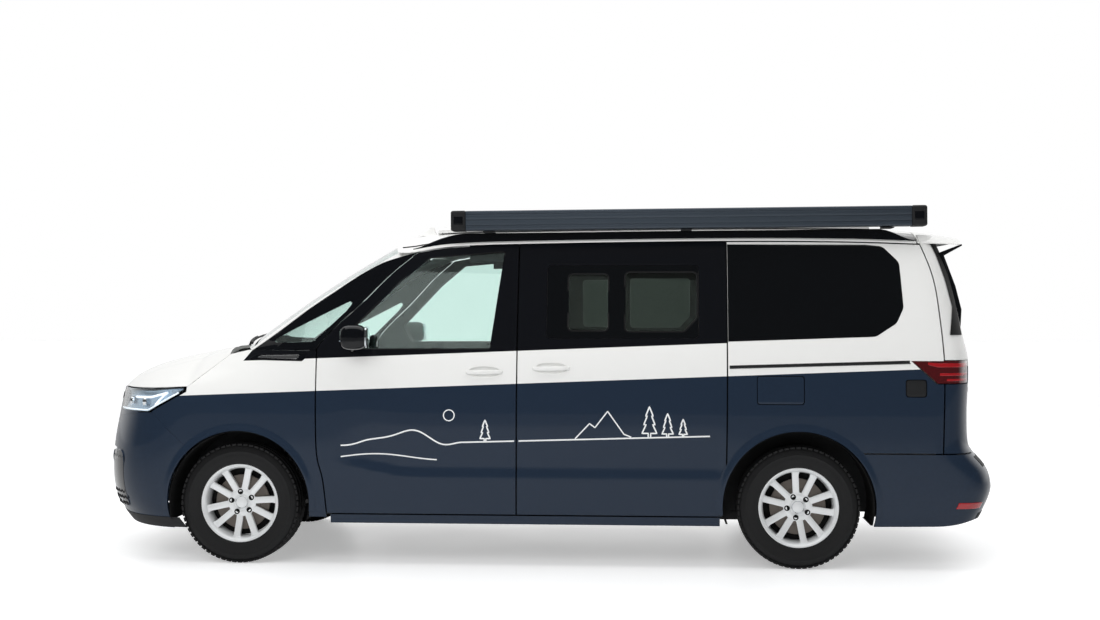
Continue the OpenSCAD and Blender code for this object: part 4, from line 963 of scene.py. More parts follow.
class Assembly:
    """A part of the van that builds its pieces and fits them to the frame."""

    def __init__(self, paint: Paintshop, scatter: Scatter) -> None:
        """Keeps the finishes and the repeating tree."""
        self.paint, self.scatter, self.count = paint, scatter, 0

    def fit(self, obj: Piece, body: str, slot: str, *nodes: str) -> Piece:
        """Lets a piece ride on a body and stand for CAD nodes, whose parts it hides."""
        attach(obj, body)
        if nodes:
            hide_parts(*nodes)
        self.count += 1
        LOG.info("%s rides on %s", obj.name, body)
        return obj

    def pair(self, obj: bpy.types.Object, bodies: tuple[str, str], slot: str,
            nodes: tuple[str, str] = ("", "")) -> None:
        """Fits a left-hand piece and its mirrored copy."""
        twin = mirrored(obj, obj.name.replace("left", "right"))
        for piece, body, node in zip((obj, twin), bodies, nodes):
            self.fit(piece, body, slot, *filter(None, [node]))

    def put(self, obj: bpy.types.Object, stock: Stock, body: str = SHELL, node: str = "", soft: float = 0.0,
            slot: str = "") -> None:
        """Finishes and fits one piece.

        Args:
            obj: the piece.
            stock: its finish.
            body: the body it rides on.
            node: the CAD node it stands for.
            soft: the angle up to which its edges are shaded smoothly, or 0 to leave them.
            slot: its material slot, where it isn't its finish's own; not used.
        """
        if soft:
            soften(obj, soft)
        self.fit(self.paint.dress(obj, stock), body, slot or stock.value.slot, *filter(None, [node]))

    def both(self, obj: bpy.types.Object, stock: Stock, bodies: tuple[str, str] = (SHELL, SHELL),
            nodes: tuple[str, str] = ("", ""), soft: float = 0.0, slot: str = "") -> None:
        """Finishes and fits a left-hand piece and its mirrored copy, with the same arguments as put."""
        if soft:
            soften(obj, soft)
        self.pair(self.paint.dress(obj, stock), bodies, slot or stock.value.slot, nodes)



# helpers for single pieces


def nose_at(y: float, z: float, t: float = 0.0) -> Point:
    """Returns the point of the nose at a place in y and z, t below the sheet."""
    w = curve(SIDE_KEYS, z)
    m = math.degrees(math.asin(min(1.0, abs(y) / w) ** (NOSE_POWER / 2))) / 90
    return nose_pt(math.copysign(0.88 * m, y), z, t)


def facing(place: Callable[[float, float], Point], a: float, b: float) -> tuple[Point, Matrix]:
    """Returns the point at (a, b) of the nose and the turn about Z that makes -X its outward direction."""
    p, q = Vector(place(a - 2, b)), Vector(place(a + 2, b))
    d = q - p
    return place(a, b), Matrix.Rotation(math.atan2(-d.x, d.y), 3, "Z")


def face_prism(outline: Flat, x0: float, x1: float) -> Piece:
    """Makes a prism along X from an outline in y and z."""
    n = len(outline)
    points = [(x0, y, z) for y, z in outline] + [(x1, y, z) for y, z in outline]
    faces = [tuple(range(n)), tuple(range(2 * n - 1, n - 1, -1))]
    faces += [((i + 1) % n, i, i + n, (i + 1) % n + n) for i in range(n)]
    obj = make("cutter", points, faces)
    outward(obj)
    return obj


def round_hole(y: float, z: float, r: float) -> Path:
    """Returns a circle's outline."""
    return [(y + r * math.cos(math.tau * k / 32), z + r * math.sin(math.tau * k / 32)) for k in range(32)]


def side_pt(x: float, z: float, depth: float = 0.0) -> Point:
    """Returns a point on the left side, depth below the outer sheet."""
    return x, -skin_y(x, z) + depth, z


def ribbon(name: str, path: Flat, width: float, depth: float, thick: float, closed: bool = False) -> Piece:
    """Makes a flat strip that follows a path in x and z on the left side.

    Args:
        name: the piece's name.
        path: the strip's middle line.
        width: the strip's width.
        depth: its outer face's depth below the sheet, negative when proud.
        thick: its thickness.
        closed: joins the path's end to its start.

    Returns:
        The new object.
    """
    pts = [Vector(p) for p in path]
    n = len(pts)
    rows = []
    for i, p in enumerate(pts):
        a = pts[(i - 1) % n] if closed else pts[max(0, i - 1)]
        b = pts[(i + 1) % n] if closed else pts[min(n - 1, i + 1)]
        d = (b - a).normalized()
        side = Vector((-d.y, d.x)) * width / 2
        rows.append([(p.x - side.x, p.y - side.y), (p.x + side.x, p.y + side.y)])
    if closed:
        rows.append(rows[0])
    return shell(name, [[side_pt(*q, depth) for q in row] for row in rows],
        [[side_pt(*q, depth + thick) for q in row] for row in rows])


def line(points: Flat, step: float = 25.0) -> Path:
    """Returns a path in x and z with points no further apart than a step."""
    out = [tuple(points[0])]
    for a, b in zip(points, points[1:]):
        n = max(1, int(math.dist(a, b) / step))
        out += [(mix(a[0], b[0], k / n), mix(a[1], b[1], k / n)) for k in range(1, n + 1)]
    return out


def loft(name: str, rings: Sequence[Sequence[Point]]) -> Piece:
    """Makes a closed solid through rings of points, with capped ends."""
    n = len(rings[0])
    points = [p for ring in rings for p in ring]
    faces = [(i * n + k, i * n + (k + 1) % n, (i + 1) * n + (k + 1) % n, (i + 1) * n + k)
        for i in range(len(rings) - 1) for k in range(n)]
    faces += [tuple(range(n))[::-1], tuple(range((len(rings) - 1) * n, len(rings) * n))]
    obj = make(name, points, faces)
    outward(obj)
    return soften(obj, 50)


def egg(centre: Point, half: Point, power: float, normal: int, n: int = 28) -> list[Point]:
    """Returns a ring shaped as a superellipse, flat across the axis with index normal."""
    a, b = [i for i in range(3) if i != normal]
    ring = []
    for k in range(n):
        t = math.tau * k / n
        c, s = math.cos(t), math.sin(t)
        p = list(centre)
        p[a] += math.copysign(abs(c) ** (2 / power), c) * half[a]
        p[b] += math.copysign(abs(s) ** (2 / power), s) * half[b]
        ring.append(tuple(p))
    return ring


# sub-assemblies


class FrontEnd(Assembly):
    """Bumper, nose panel, honeycomb grille and headlamps."""

    GRILLE_HALF, GRILLE_LOW, GRILLE_HIGH = 650.0, 340.0, 580.0
    TOW_EYE = (435.0, 700.0, 24.0)

    def build(self) -> None:
        """Builds the whole front end."""
        self.bumper()
        self.nose_panel()
        self.grille()
        self.corner_vents()
        self.headlamps()

    def grille_outline(self, grow: float = 0.0) -> Path:
        """Returns the grille's opening in y and z."""
        g, low, high = self.GRILLE_HALF + 50, self.GRILLE_LOW - 50, self.GRILLE_HIGH + 50
        return rounded_outline([(-g, low), (g, low), (g + 20, high), (-g - 20, high)], 50, grow)

    def bumper(self) -> None:
        """Builds the bumper with its openings, lower lip and blank number plate."""
        skin = 22.0
        obj = slab("bumper_front", lambda u, v, t: nose_pt(mix(-1, 1, v), mix(BUMPER_Z, 850, u), t), 36, 96,
            0.0, skin)
        tip, foot = (FRONT_AXLE - 508, 852), (FRONT_AXLE - 285, 648)
        corner = [tip, foot, (FRONT_AXLE, foot[1]), (FRONT_AXLE, 900), (tip[0], 900)]
        above = slab("cutter", lambda u, v, t: nose_pt(mix(-0.99, 0.99, v),
            nose_line(mix(-0.99, 0.99, v)) + 200 * u, t), 2, 72, -20.0, 60.0)
        cut(obj, disc_cutter(FRONT_AXLE, FRONT_ARCH_R), prism("cutter", corner, -1200, 1200),
            face_prism(self.grille_outline(), NOSE_X - 10, NOSE_X + 390), above,
            face_prism(round_hole(*self.TOW_EYE), NOSE_X - 10, NOSE_X + 400))
        soften(obj, 30)
        self.put(obj, Stock.BLUE, node="front_bumper")
        self.put(slab("bumper_lip", lambda u, v, t: nose_pt(mix(-0.82, 0.82, v), mix(BUMPER_Z + 4, 258, u),
            t), 4, 72, -3.0, 1.0), Stock.BLACK, soft=32)
        plate = slab("plate_front", lambda u, v, t: (nose_at(0, 700)[0] - t, mix(-255, 255, v),
            mix(655, 755, u)), 2, 4, 6.0, 2.0)
        holder = shell("plate_holder_front", *(grid(lambda u, v: (x, mix(-265, 265, v), mix(645, 765, u)), 2,
            4) for x in (nose_at(0, 700)[0] - 4.0, nose_at(265, 700)[0] + 6.0)))
        self.put(bevelled(plate, 1.5), Stock.PLATE)
        self.put(bevelled(holder, 3), Stock.BLACK)

    def corner_vents(self) -> None:
        """Builds the vents at the bumper's corners, with honeycomb above and below a smooth bar."""
        both, outline = ((SHELL, SHELL), rounded_outline([(-800, 302), (-585, 296), (-590, 606), (-806, 626)],
            44))
        panel = slab("corner_vent_left", lambda u, v, t: nose_pt(mix(-0.97, -0.35, v), mix(286, 636, u), t),
            12, 60, -1.5, 3.0)
        cut(panel, face_prism(outline, NOSE_X - 10, NOSE_X + 390), keep=True)
        self.both(panel, Stock.PIANO, soft=30)
        pitch = 40.0
        marks = [facing(lambda a, b: nose_at(a, b, -1), -620 - (k + 0.5 * (row % 2)) * pitch,
            326 + row * pitch * HEX_ROW) for row in (0, 1, 2, 6, 7) for k in range(5)]
        comb = self.scatter.set_out("corner_vent_comb_left", marks, self.cell(pitch / 1.732, 5.0, 9.0),
            self.paint.get(Stock.BLACK))
        self.pair(comb, (SHELL, SHELL), "black_plastic")
        self.both(tube("corner_vent_rim_left", [nose_at(y, z, -1) for y, z in [*outline, outline[0]]], 4.5,
            8), Stock.BLUE)

    def nose_panel(self) -> None:
        """Builds the panel between the lamps, with a black trim bar across it."""
        spots = [(mix(-0.6, -LAMP_IN + 0.004, i / 8), LAMP_LOW - 0.8) for i in range(9)]
        spots += [(mix(-LAMP_IN + 0.018, LAMP_IN - 0.018, i / 24), BONNET_FRONT_Z - GAP) for i in range(25)]
        spots += [(mix(LAMP_IN - 0.004, 0.6, i / 8), LAMP_LOW - 0.8) for i in range(9)]

        def rows(t: float) -> Rows:
            """Returns the panel's grid at a depth."""
            return [[nose_pt(s, mix(nose_line(s) + 0.8, top, j / 10), t) for s, top in spots]
                for j in range(11)]

        self.put(shell("nose_panel", rows(0), rows(22)), Stock.BLUE, node="nose_panel", soft=30)
        bar = slab("nose_trim_bar", lambda u, v, t: nose_pt(mix(-LAMP_IN + 0.02, LAMP_IN - 0.02, v),
            mix(908, 946, u), t), 3, 40, -3.0, 1.0)
        self.put(bevelled(bar, 1.5), Stock.PIANO)

    def grille(self) -> None:
        """Builds the honeycomb in the bumper's opening, its backing and its bright edge."""
        back = slab("grille_backing", lambda u, v, t: nose_pt(mix(-0.75, 0.75, v), mix(290, 640, u), t), 12,
            60, 24.0, 28.0)
        cut(back, face_prism(self.grille_outline(6), NOSE_X - 10, NOSE_X + 390), keep=True)
        self.put(back, Stock.LINER, node="grille", soft=32)
        pitch, marks = 44.0, []
        for row in range(8):
            z = 312 + row * pitch * HEX_ROW
            for k in range(-17, 18):
                y = (k + 0.5 * (row % 2)) * pitch
                if abs(y) < self.GRILLE_HALF + 12 and 306 < z < 612:
                    marks.append(facing(lambda a, b: nose_at(a, b, 9), y, z))
        cell = self.cell(pitch / 1.732, 5.0, 16.0)
        comb = self.scatter.set_out("grille_honeycomb", marks, cell, self.paint.get(Stock.PIANO))
        self.fit(comb, SHELL, "gloss_black")
        edge = [nose_at(y, z, 2) for y, z in self.grille_outline(-3)]
        self.put(tube("grille_rim", [*edge, edge[0]], 5.5, 10), Stock.CHROME, slot="gloss_black")

    @staticmethod
    def cell(r: float, wall: float, deep: float) -> Piece:
        """Makes one open hexagonal cell that looks along -X."""
        ring = [(math.cos(math.radians(60 * k + 30)), math.sin(math.radians(60 * k + 30))) for k in range(6)]
        points = [(x, c * q, s * q) for x, q in ((0, r), (0, r - wall), (deep, r - wall * 0.7), (deep, r))
            for c, s in ring]
        faces = [(a * 6 + k, a * 6 + (k + 1) % 6, (a + 1) % 4 * 6 + (k + 1) % 6, (a + 1) % 4 * 6 + k)
            for a in range(4) for k in range(6)]
        obj = make("cell", points, faces)
        outward(obj)
        return obj

    @staticmethod
    def lamp_pt(i: float, v: float, t: float) -> Point:
        """Returns a point of the left lamp, i from 0 at the nose to 10 at the wing, v up, t inwards."""
        s = mix(LAMP_IN, LAMP_TURN, i / 6) if i <= 6 else mix(LAMP_TURN, LAMP_OUT, (i - 6) / 4)
        low = mix(LAMP_LOW, BONNET_FRONT_Z - 4, max(0.0, (nose_pt(s, 930)[0] - FRONT_AXLE + 516) / 198))
        high = BONNET_FRONT_Z - GAP + 12 * ((s - LAMP_IN) / (LAMP_OUT - LAMP_IN)) ** 2
        turn = min(1.0, (s - LAMP_IN) / (LAMP_TURN - LAMP_IN))
        p = nose_pt(-s, mix(low, high, v), 1)
        return p[0] + t * (1 - turn), p[1] + 0.7 * t * turn, p[2]

    def headlamps(self) -> None:
        """Builds each lamp from its lens, its bowl, two projectors and the light guides."""
        self.both(slab("lamp_lens_left", lambda u, v, t: self.lamp_pt(10 * u, v, t), 40, 12, 0.0, 4.0),
            Stock.LENS, nodes=("headlamps", ""), soft=32)
        self.both(slab("lamp_bowl_left", lambda u, v, t: self.lamp_pt(mix(0.1, 9.9, u), mix(0.02, 0.98, v),
            t + 26 * math.sin(math.pi * v) ** 0.5), 40, 12, 6.0, 12.0), Stock.REFLECTOR, soft=32)
        self.both(slab("lamp_brow_left", lambda u, v, t: self.lamp_pt(mix(0.05, 9.9, u), mix(0.9, 0.995, v),
            t), 40, 2, 5.0, 9.0), Stock.PIANO, soft=32)
        guides = [[self.lamp_pt(i / 4, 0.07, 8) for i in range(2, 39)],
            [self.lamp_pt(i / 4, 0.62, 8) for i in range(14, 33)],
            [self.lamp_pt(8 - 1.6 * k / 8, mix(0.62, 0.12, k / 8), 8) for k in range(9)]]
        for k, path in enumerate(guides):
            self.both(tube(f"light_guide_{k}_left", path, (5.0, 7.0, 6.0)[k], 10), Stock.LIGHT)
        for k, i in enumerate((2.6, 4.8)):
            c = self.lamp_pt(i, 0.42, 16)
            self.both(loft(f"projector_{k}_left", [egg((c[0] + x, c[1] + y, c[2]), (0, r, r), 2, 0)
                for x, y, r in ((0, 0, 20), (-4, 0, 25), (2, 1, 27), (16, 4, 26))]), Stock.CHROME,
                slot="lamp_clear")


class Wings(Assembly):
    """Front wings, arch linings, windscreen pillars, cowl and the trim on the wings."""

    def build(self) -> None:
        """Builds both wings and what stands on them."""
        rear = lambda z: door_front(z) - GAP
        outline = [(FRONT_AXLE - 507.2, 852), (FRONT_AXLE - 298, 966), (FRONT_AXLE - 296, BONNET_FRONT_Z + 8),
            (BONNET_REAR_X + 6, BELT_Z - 32), (FRONT_AXLE + 30, BELT_Z - 8), (FRONT_AXLE + 600, BELT_Z - 8),
            (FRONT_AXLE + 600, DOOR_LOW_Z - 20), (FRONT_AXLE + 380, SILL_Z), (FRONT_AXLE, 648.8),
            (FRONT_AXLE - 284.2, 648.8)]
        wing = side_sheet("wing_left", lambda z: FRONT_AXLE - 520, rear, DOOR_LOW_Z - 22,
            lambda u: BELT_Z - 8, 44, 44, 0, 22)
        cut(wing, side_cutter(outline), keep=True)
        cut(wing, disc_cutter(FRONT_AXLE, FRONT_ARCH_R))
        self.both(wing, Stock.WINGS, nodes=("front_wings", ""), soft=30)
        for name, x, r in (("front", FRONT_AXLE, FRONT_ARCH_R), ("rear", REAR_AXLE, REAR_ARCH_R)):
            self.arch(name, x, r)
        self.pillars()
        self.cowl()
        self.blade()
        self.both(block("mud_guard_left", (FRONT_AXLE - 436, -905, 246), (FRONT_AXLE - 418, -760, 330), 5),
            Stock.BLACK)

    def arch(self, name: str, x: float, r: float) -> None:
        """Builds the lining and the rolled lip of a wheel arch."""
        both, low, inner = (SHELL, SHELL), -18, r - 8
        ends = math.radians(low), math.radians(180 - low)

        def lining(u: float, v: float, t: float) -> Point:
            """Returns a point of the lining."""
            a = mix(*ends, u)
            return (x + (inner - t) * math.cos(a), mix(-940, -600, v),
                max(SILL_Z + 12, ARCH_Z + (inner - t) * math.sin(a)))

        self.both(slab(f"arch_lining_{name}_left", lining, 48, 4, 0.0, 4.0), Stock.LINER, soft=32)

        def lip(u: float, v: float, t: float) -> Point:
            """Returns a point of the rolled lip, which swells a little over the sheet."""
            a = mix(math.radians(-6), math.radians(186), u)
            q = r - 2 + 42 * v
            px, pz = x + q * math.cos(a), ARCH_Z + q * math.sin(a)
            return px, -side_y(px, pz) - 7 * math.cos(math.pi / 2 * v) ** 2 - 0.4 + t, pz

        rolled = slab(f"arch_lip_{name}_left", lip, 64, 8, 0.0, 9.0)
        keep = [(x - 600, 300), (x + 600, 300), (x + 600, 900), (x - 600, 900)]
        cut(rolled, side_cutter(keep), keep=True)
        if x < 0:
            cut(rolled, side_cutter([(x + 440, 200), (x + 700, 200), (x + 700, 900), (x + 440, 900)]))
        self.both(rolled, Stock.BLUE, soft=40)

    def pillars(self) -> None:
        """Builds the pillars beside the windscreen and the black panel round the front quarter window."""

        def place(u: float, v: float, t: float) -> Point:
            """Returns a point of the left pillar."""
            z = mix(BELT_Z - 7.7, DOOR_TOP_Z - 40, u)
            x = pillar_x(z)
            w = (x - pillar_x(BELT_Z - 8)) / (pillar_x(DOOR_TOP_Z - 40) - pillar_x(BELT_Z - 8))
            e = screen_pt(-1, w)
            drop = 0.5 * min(1.0, 8 * u, 8 * (1 - u))
            bow = 5 * math.sin(math.pi * v)
            return (mix(x, e[0], v) + 0.3 * t - 0.3 * bow, mix(-side_y(x, z), e[1] - 3, v)
                + mix(0.75, 0.49, v) * t - 0.8 * bow, mix(z, e[2], v) - drop * t + 0.4 * bow)

        self.both(slab("pillar_left", place, 36, 8, 0.0, 26.0), Stock.WHITE, nodes=("windscreen_posts", ""),
            soft=32)

        def panel(u: float, v: float, t: float) -> Point:
            """Returns a point of the black panel behind the pillar."""
            z = mix(BELT_Z - 6, DOOR_TOP_Z - 50, v)
            x = mix(pillar_x(z) + 4 + 1.8 * t, max(pillar_x(z) + 5 + 1.8 * t, door_front(z) - GAP), u)
            return x, -side_y(x, z) + t, z

        black = slab("quarter_panel_left", panel, 16, 32, 0.5, 12.0)
        cut(black, side_cutter(rounded_outline(FRONT_QUARTER, 12)))
        self.both(black, Stock.PIANO, soft=30)

    def cowl(self) -> None:
        """Builds the cowl, near-black blocks of painted shade for its air slots, and the wipers."""

        def place(s: float, v: float, t: float) -> Point:
            """Returns a point of the cowl."""
            back = screen_pt(s, 0.0, 12)
            x = mix(BONNET_REAR_X - 60 * (1 - s * s) + GAP + 4, back[0] - 6, v)
            y = s * mix(BONNET_REAR_Y - 24, 738, v)
            return x, y, mix(bonnet_z(x, y) - 26, back[2] - 12, v) - t

        self.put(slab("cowl", lambda u, v, t: place(mix(-0.97, 0.97, u), v, t), 60, 10, 0.0, 20.0),
            Stock.BLACK, node="cowl", soft=32)
        # near-black blocks laid on the cowl are painted shade standing in for its open air slots
        marks = [(place(mix(-0.85, 0.85, k / 30), 0.45, -1), Matrix.Identity(3)) for k in range(31)]
        slot = make("slot", [(x, y, z) for x in (-26, 26) for y in (-5, 5) for z in (-2, 2)], BOX_FACES)
        self.fit(self.scatter.set_out("cowl_slots", marks, slot, self.paint.get(Stock.LINER)), SHELL,
            "black_plastic")
        for k, (a, b) in enumerate(((-0.84, -0.06), (0.84, 0.06))):
            blade = [screen_pt(mix(a, b, i / 12), mix(0.03, 0.07, i / 12), -9) for i in range(13)]
            arm = [screen_pt(mix(a, b, i / 8), mix(0.026, 0.066, i / 8), -18) for i in range(6)]
            foot = screen_pt(a, 0.012, -9)
            self.put(tube(f"wiper_blade_{k}", blade, 6, 8), Stock.SEAL)
            self.put(tube(f"wiper_arm_{k}", [foot, *arm], [9, *(8 - 0.7 * i for i in range(6))], 10),
                Stock.BLACK)

    def blade(self) -> None:
        """Builds the blank silver blade in its black surround at the top of each wing."""
        x = FRONT_AXLE + 30
        outer = [(x + 6, 1146), (x + 60, 1176), (x + 360, 1186), (x + 350, 1156), (x + 330, 1140)]
        inner = [(x + 50, 1158), (x + 90, 1170), (x + 320, 1176), (x + 300, 1152)]
        for name, outline, grow, depth, stock, slot in (("wing_blade_surround", outer, 0, -1.5, Stock.PIANO,
                "gloss_black"), ("wing_blade", inner, 0, -4.0, Stock.CHROME, "alloy")):
            obj = overlay(f"{name}_left", rounded_outline(outline, 6, grow), depth, 3.5)
            self.both(bevelled(obj, 0.8), stock, slot=slot)


class Glazing(Assembly):
    """Windscreen and the fixed side windows."""

    def build(self) -> None:
        """Builds every fixed pane."""
        self.put(slab("windscreen", lambda u, v, t: screen_pt(mix(-0.985, 0.985, v), mix(0.005, 0.99, u), t),
            28, 32, 7.0, 12.0), Stock.CLEAR, node="windscreen", soft=32)
        self.frit()
        pane = overlay("front_quarter_glass_left", rounded_outline(FRONT_QUARTER, 12, -0.5), 3, 4)
        self.both(pane, Stock.CLEAR, soft=32)
        band = [(max(x, C_POST + 5), z) for x, z in rounded_outline(QUARTER_BAND, 60) if x > C_POST - 30]
        band = [(C_POST + 5, BELT_Z + 44.5), *[p for p in band if p[0] > C_POST + 5],
            (C_POST + 5, DOOR_TOP_Z - 2)]
        self.both(overlay("rear_quarter_glass_left", band, -1.2, 5), Stock.DARK, soft=30)
        panel = rounded_outline([(88, 1267), (933, 1270), (933, 1678), (88, 1678)], 26, -2)
        frame = overlay("slider_panel_left", panel, 1.0, 5)
        cut(frame, *(side_cutter(rounded_outline(p, 22)) for p in SLIDER_PANES))
        self.both(frame, Stock.DARK, nodes=("side_glass", ""), soft=30)
        for k, p in enumerate(SLIDER_PANES):
            pane = overlay(f"slider_pane_{k}_left", rounded_outline(p, 22, -1), 4.0, 4)
            self.both(pane, Stock.PRIVACY, soft=32)
            edge = rounded_outline(p, 22, 4)
            self.both(ribbon(f"slider_seal_{k}_left", edge, 8, -0.5, 5, closed=True), Stock.SEAL, soft=40)

    def frit(self) -> None:
        """Builds the black printed border behind the windscreen's edges."""
        edges = [((-0.985, 0.985), (0.005, 0.075)), ((-0.985, 0.985), (0.955, 0.99)),
            ((-0.985, -0.94), (0.005, 0.99)), ((0.94, 0.985), (0.005, 0.99))]
        parts = [slab(f"frit_{k}", lambda u, v, t: screen_pt(mix(*s, v), mix(*h, u), t), 24 if k > 1 else 3,
            3 if k > 1 else 32, 12.4, 13.4) for k, (s, h) in enumerate(edges)]
        self.put(joined("windscreen_border", parts), Stock.PIANO, soft=32)


class Doors(Assembly):
    """Hinged front doors and sliding doors, with their handles, glass and mirrors."""

    HANDLES = ((-257.0, 1082.0), (116.0, 1103.0))

    def build(self) -> None:
        """Builds the doors of both sides."""
        self.front_door()
        self.sliding_door()
        self.mirror()

    def dish(self, door: Piece, x: float, z: float) -> None:
        """Presses the finger dish behind a handle into a door."""
        p = side_pt(x, z + 2)
        rings = [egg((p[0], p[1] + y, p[2]), (86 * q, 0, 30 * q), 2.6, 1)
            for y, q in ((-6, 1.08), (0, 1.0), (6, 0.93), (11, 0.8), (14, 0.55), (15, 0.2))]
        cut(door, loft("cutter", rings))

    def handle(self, name: str, body: tuple[str, str], x: float, z: float) -> None:
        """Builds a pull handle over its dish."""
        p = Vector(side_pt(x, z))
        rings = []
        for k in range(17):
            u = 2 * k / 16 - 1
            px = x + 104 * u
            q = side_pt(px, z + 1.5 * u)
            out = 24 * (1 - abs(u) ** 5) + 1
            rings.append(egg((px, q[1] - out + 7, q[2]), (0, 6.5 + 1.0 * abs(u), 12.5 - 3 * u * u), 3, 0, 20))
        self.both(loft(f"{name}_left", rings), Stock.WHITE, body)
        self.both(joined(f"{name}_feet_left", [block("foot", (x + k - 9, p.y - 14, z - 8),
            (x + k + 9, p.y + 4, z + 8), 4) for k in (-92, 92)]), Stock.WHITE, body)

    def front_door(self) -> None:
        """Builds the hinged door from its sheet, its lining and its frame."""
        both = ("left_door", "right_door")
        rear = lambda z: b_post(z) - GAP / 2
        high = lambda u: cantrail(mix(FRONT_AXLE + 1002, B_POST, u)) - 3
        sheet = side_sheet("front_door_left", door_front, rear, DOOR_LOW_Z, high, 44, 60, 0, 24)
        cut(sheet, side_cutter(rounded_outline(DOOR_WINDOW, 14)))
        self.dish(sheet, *self.HANDLES[0])
        self.both(sheet, Stock.DOORS, both, nodes=("door_left", "door_right"), soft=30)
        lining = side_sheet("front_door_lining_left", lambda z: door_front(z) + 8, lambda z: rear(z) - 8,
            DOOR_LOW_Z + 8, lambda u: high(u) - 8, 24, 30, 24.5, 36)
        cut(lining, side_cutter(rounded_outline(DOOR_WINDOW, 14, 4)))
        self.both(lining, Stock.DASH, both, soft=30)
        pocket = side_sheet("front_door_armrest_left", lambda z: FRONT_AXLE + 640, lambda z: B_POST - 200,
            760, lambda u: 840.0, 12, 4, 60, 48)
        self.both(bevelled(pocket, 14, 3), Stock.TRIM, both)
        self.both(overlay("front_door_glass_left", rounded_outline(DOOR_WINDOW, 14, -1), 4, 4), Stock.CLEAR,
            both, nodes=("door_glass_left", "door_glass_right"), soft=32)
        self.both(ribbon("front_door_seal_left", rounded_outline(DOOR_WINDOW, 14, 3), 7, -0.6, 5,
            closed=True), Stock.SEAL, both, soft=40)
        self.handle("front_door_handle", both, *self.HANDLES[0])

    def sliding_door(self) -> None:
        """Builds the sliding door with the opening for its flush window."""
        both = (SHELL, SHELL)
        front, rear = lambda z: b_post(z) + GAP / 2, lambda z: c_post(z) - GAP / 2
        high = lambda u: cantrail(mix(B_POST, C_POST, u)) - 3
        sheet = side_sheet("sliding_door_left", front, rear, DOOR_LOW_Z, high, 46, 60, 0, 24)
        panel = rounded_outline([(88, 1267), (933, 1270), (933, 1678), (88, 1678)], 26)
        cut(sheet, side_cutter(panel), disc_cutter(REAR_AXLE, REAR_ARCH_R + 4))
        self.dish(sheet, *self.HANDLES[1])
        self.both(sheet, Stock.DOORS, nodes=("sliding_doors", ""), soft=30)
        lining = side_sheet("sliding_door_lining_left", lambda z: front(z) + 8, lambda z: rear(z) - 8,
            DOOR_LOW_Z + 8, lambda u: high(u) - 8, 24, 30, 24.5, 36)
        cut(lining, *(side_cutter(rounded_outline(p, 22, 2)) for p in SLIDER_PANES))
        cut(lining, disc_cutter(REAR_AXLE, REAR_ARCH_R + 12))
        self.both(lining, Stock.TRIM, soft=30)
        self.handle("sliding_door_handle", both, *self.HANDLES[1])

    def mirror(self) -> None:
        """Builds the wing mirror: its housing, its silvered glass, its lamp and its foot."""
        both = ("left_door", "right_door")
        x, z = FRONT_AXLE + 676, BELT_Z + 70
        spans = ((-24, 0.5, 0.4, 12), (-34, 0.78, 0.72, 8), (-56, 0.95, 0.93, 3), (-86, 1.0, 1.0, 0),
            (-116, 0.98, 0.96, 2), (-136, 0.86, 0.84, 5), (-146, 0.62, 0.62, 8), (-149, 0.3, 0.3, 9))
        rings = [egg((x + d, -HALF_W + y, z - 2), (78 * a, 0, 70 * b), 3.0, 1, 36) for y, a, b, d in spans]
        self.both(loft("mirror_housing_left", rings), Stock.PIANO, both,
            nodes=("mirror_left", "mirror_right"))
        self.both(loft("mirror_glass_left", [egg((x + 70 + d, -HALF_W - 84, z - 2), (0, 54 * q, 58 * q), 3.4,
            0, 36) for d, q in ((0, 1), (7, 1), (9, 0.97))]), Stock.MIRROR, both)
        foot = [(x - 30, -side_y(x - 30, BELT_Z - 2) - 4, BELT_Z - 2), (x - 22, -HALF_W + 4, BELT_Z + 8),
            (x - 8, -HALF_W - 24, BELT_Z + 22), (x, -HALF_W - 52, BELT_Z + 36)]
        self.both(tube("mirror_foot_left", foot, (22, 19, 18, 20), 16), Stock.PIANO, both)
        lamp = [(x - 76 + 0.25 * abs(k) ** 1.6, -HALF_W - 84 - 5.6 * k, z - 22) for k in range(-6, 11)]
        self.both(tube("mirror_lamp_left", lamp, 4.5, 8), Stock.REFLECTOR, both)


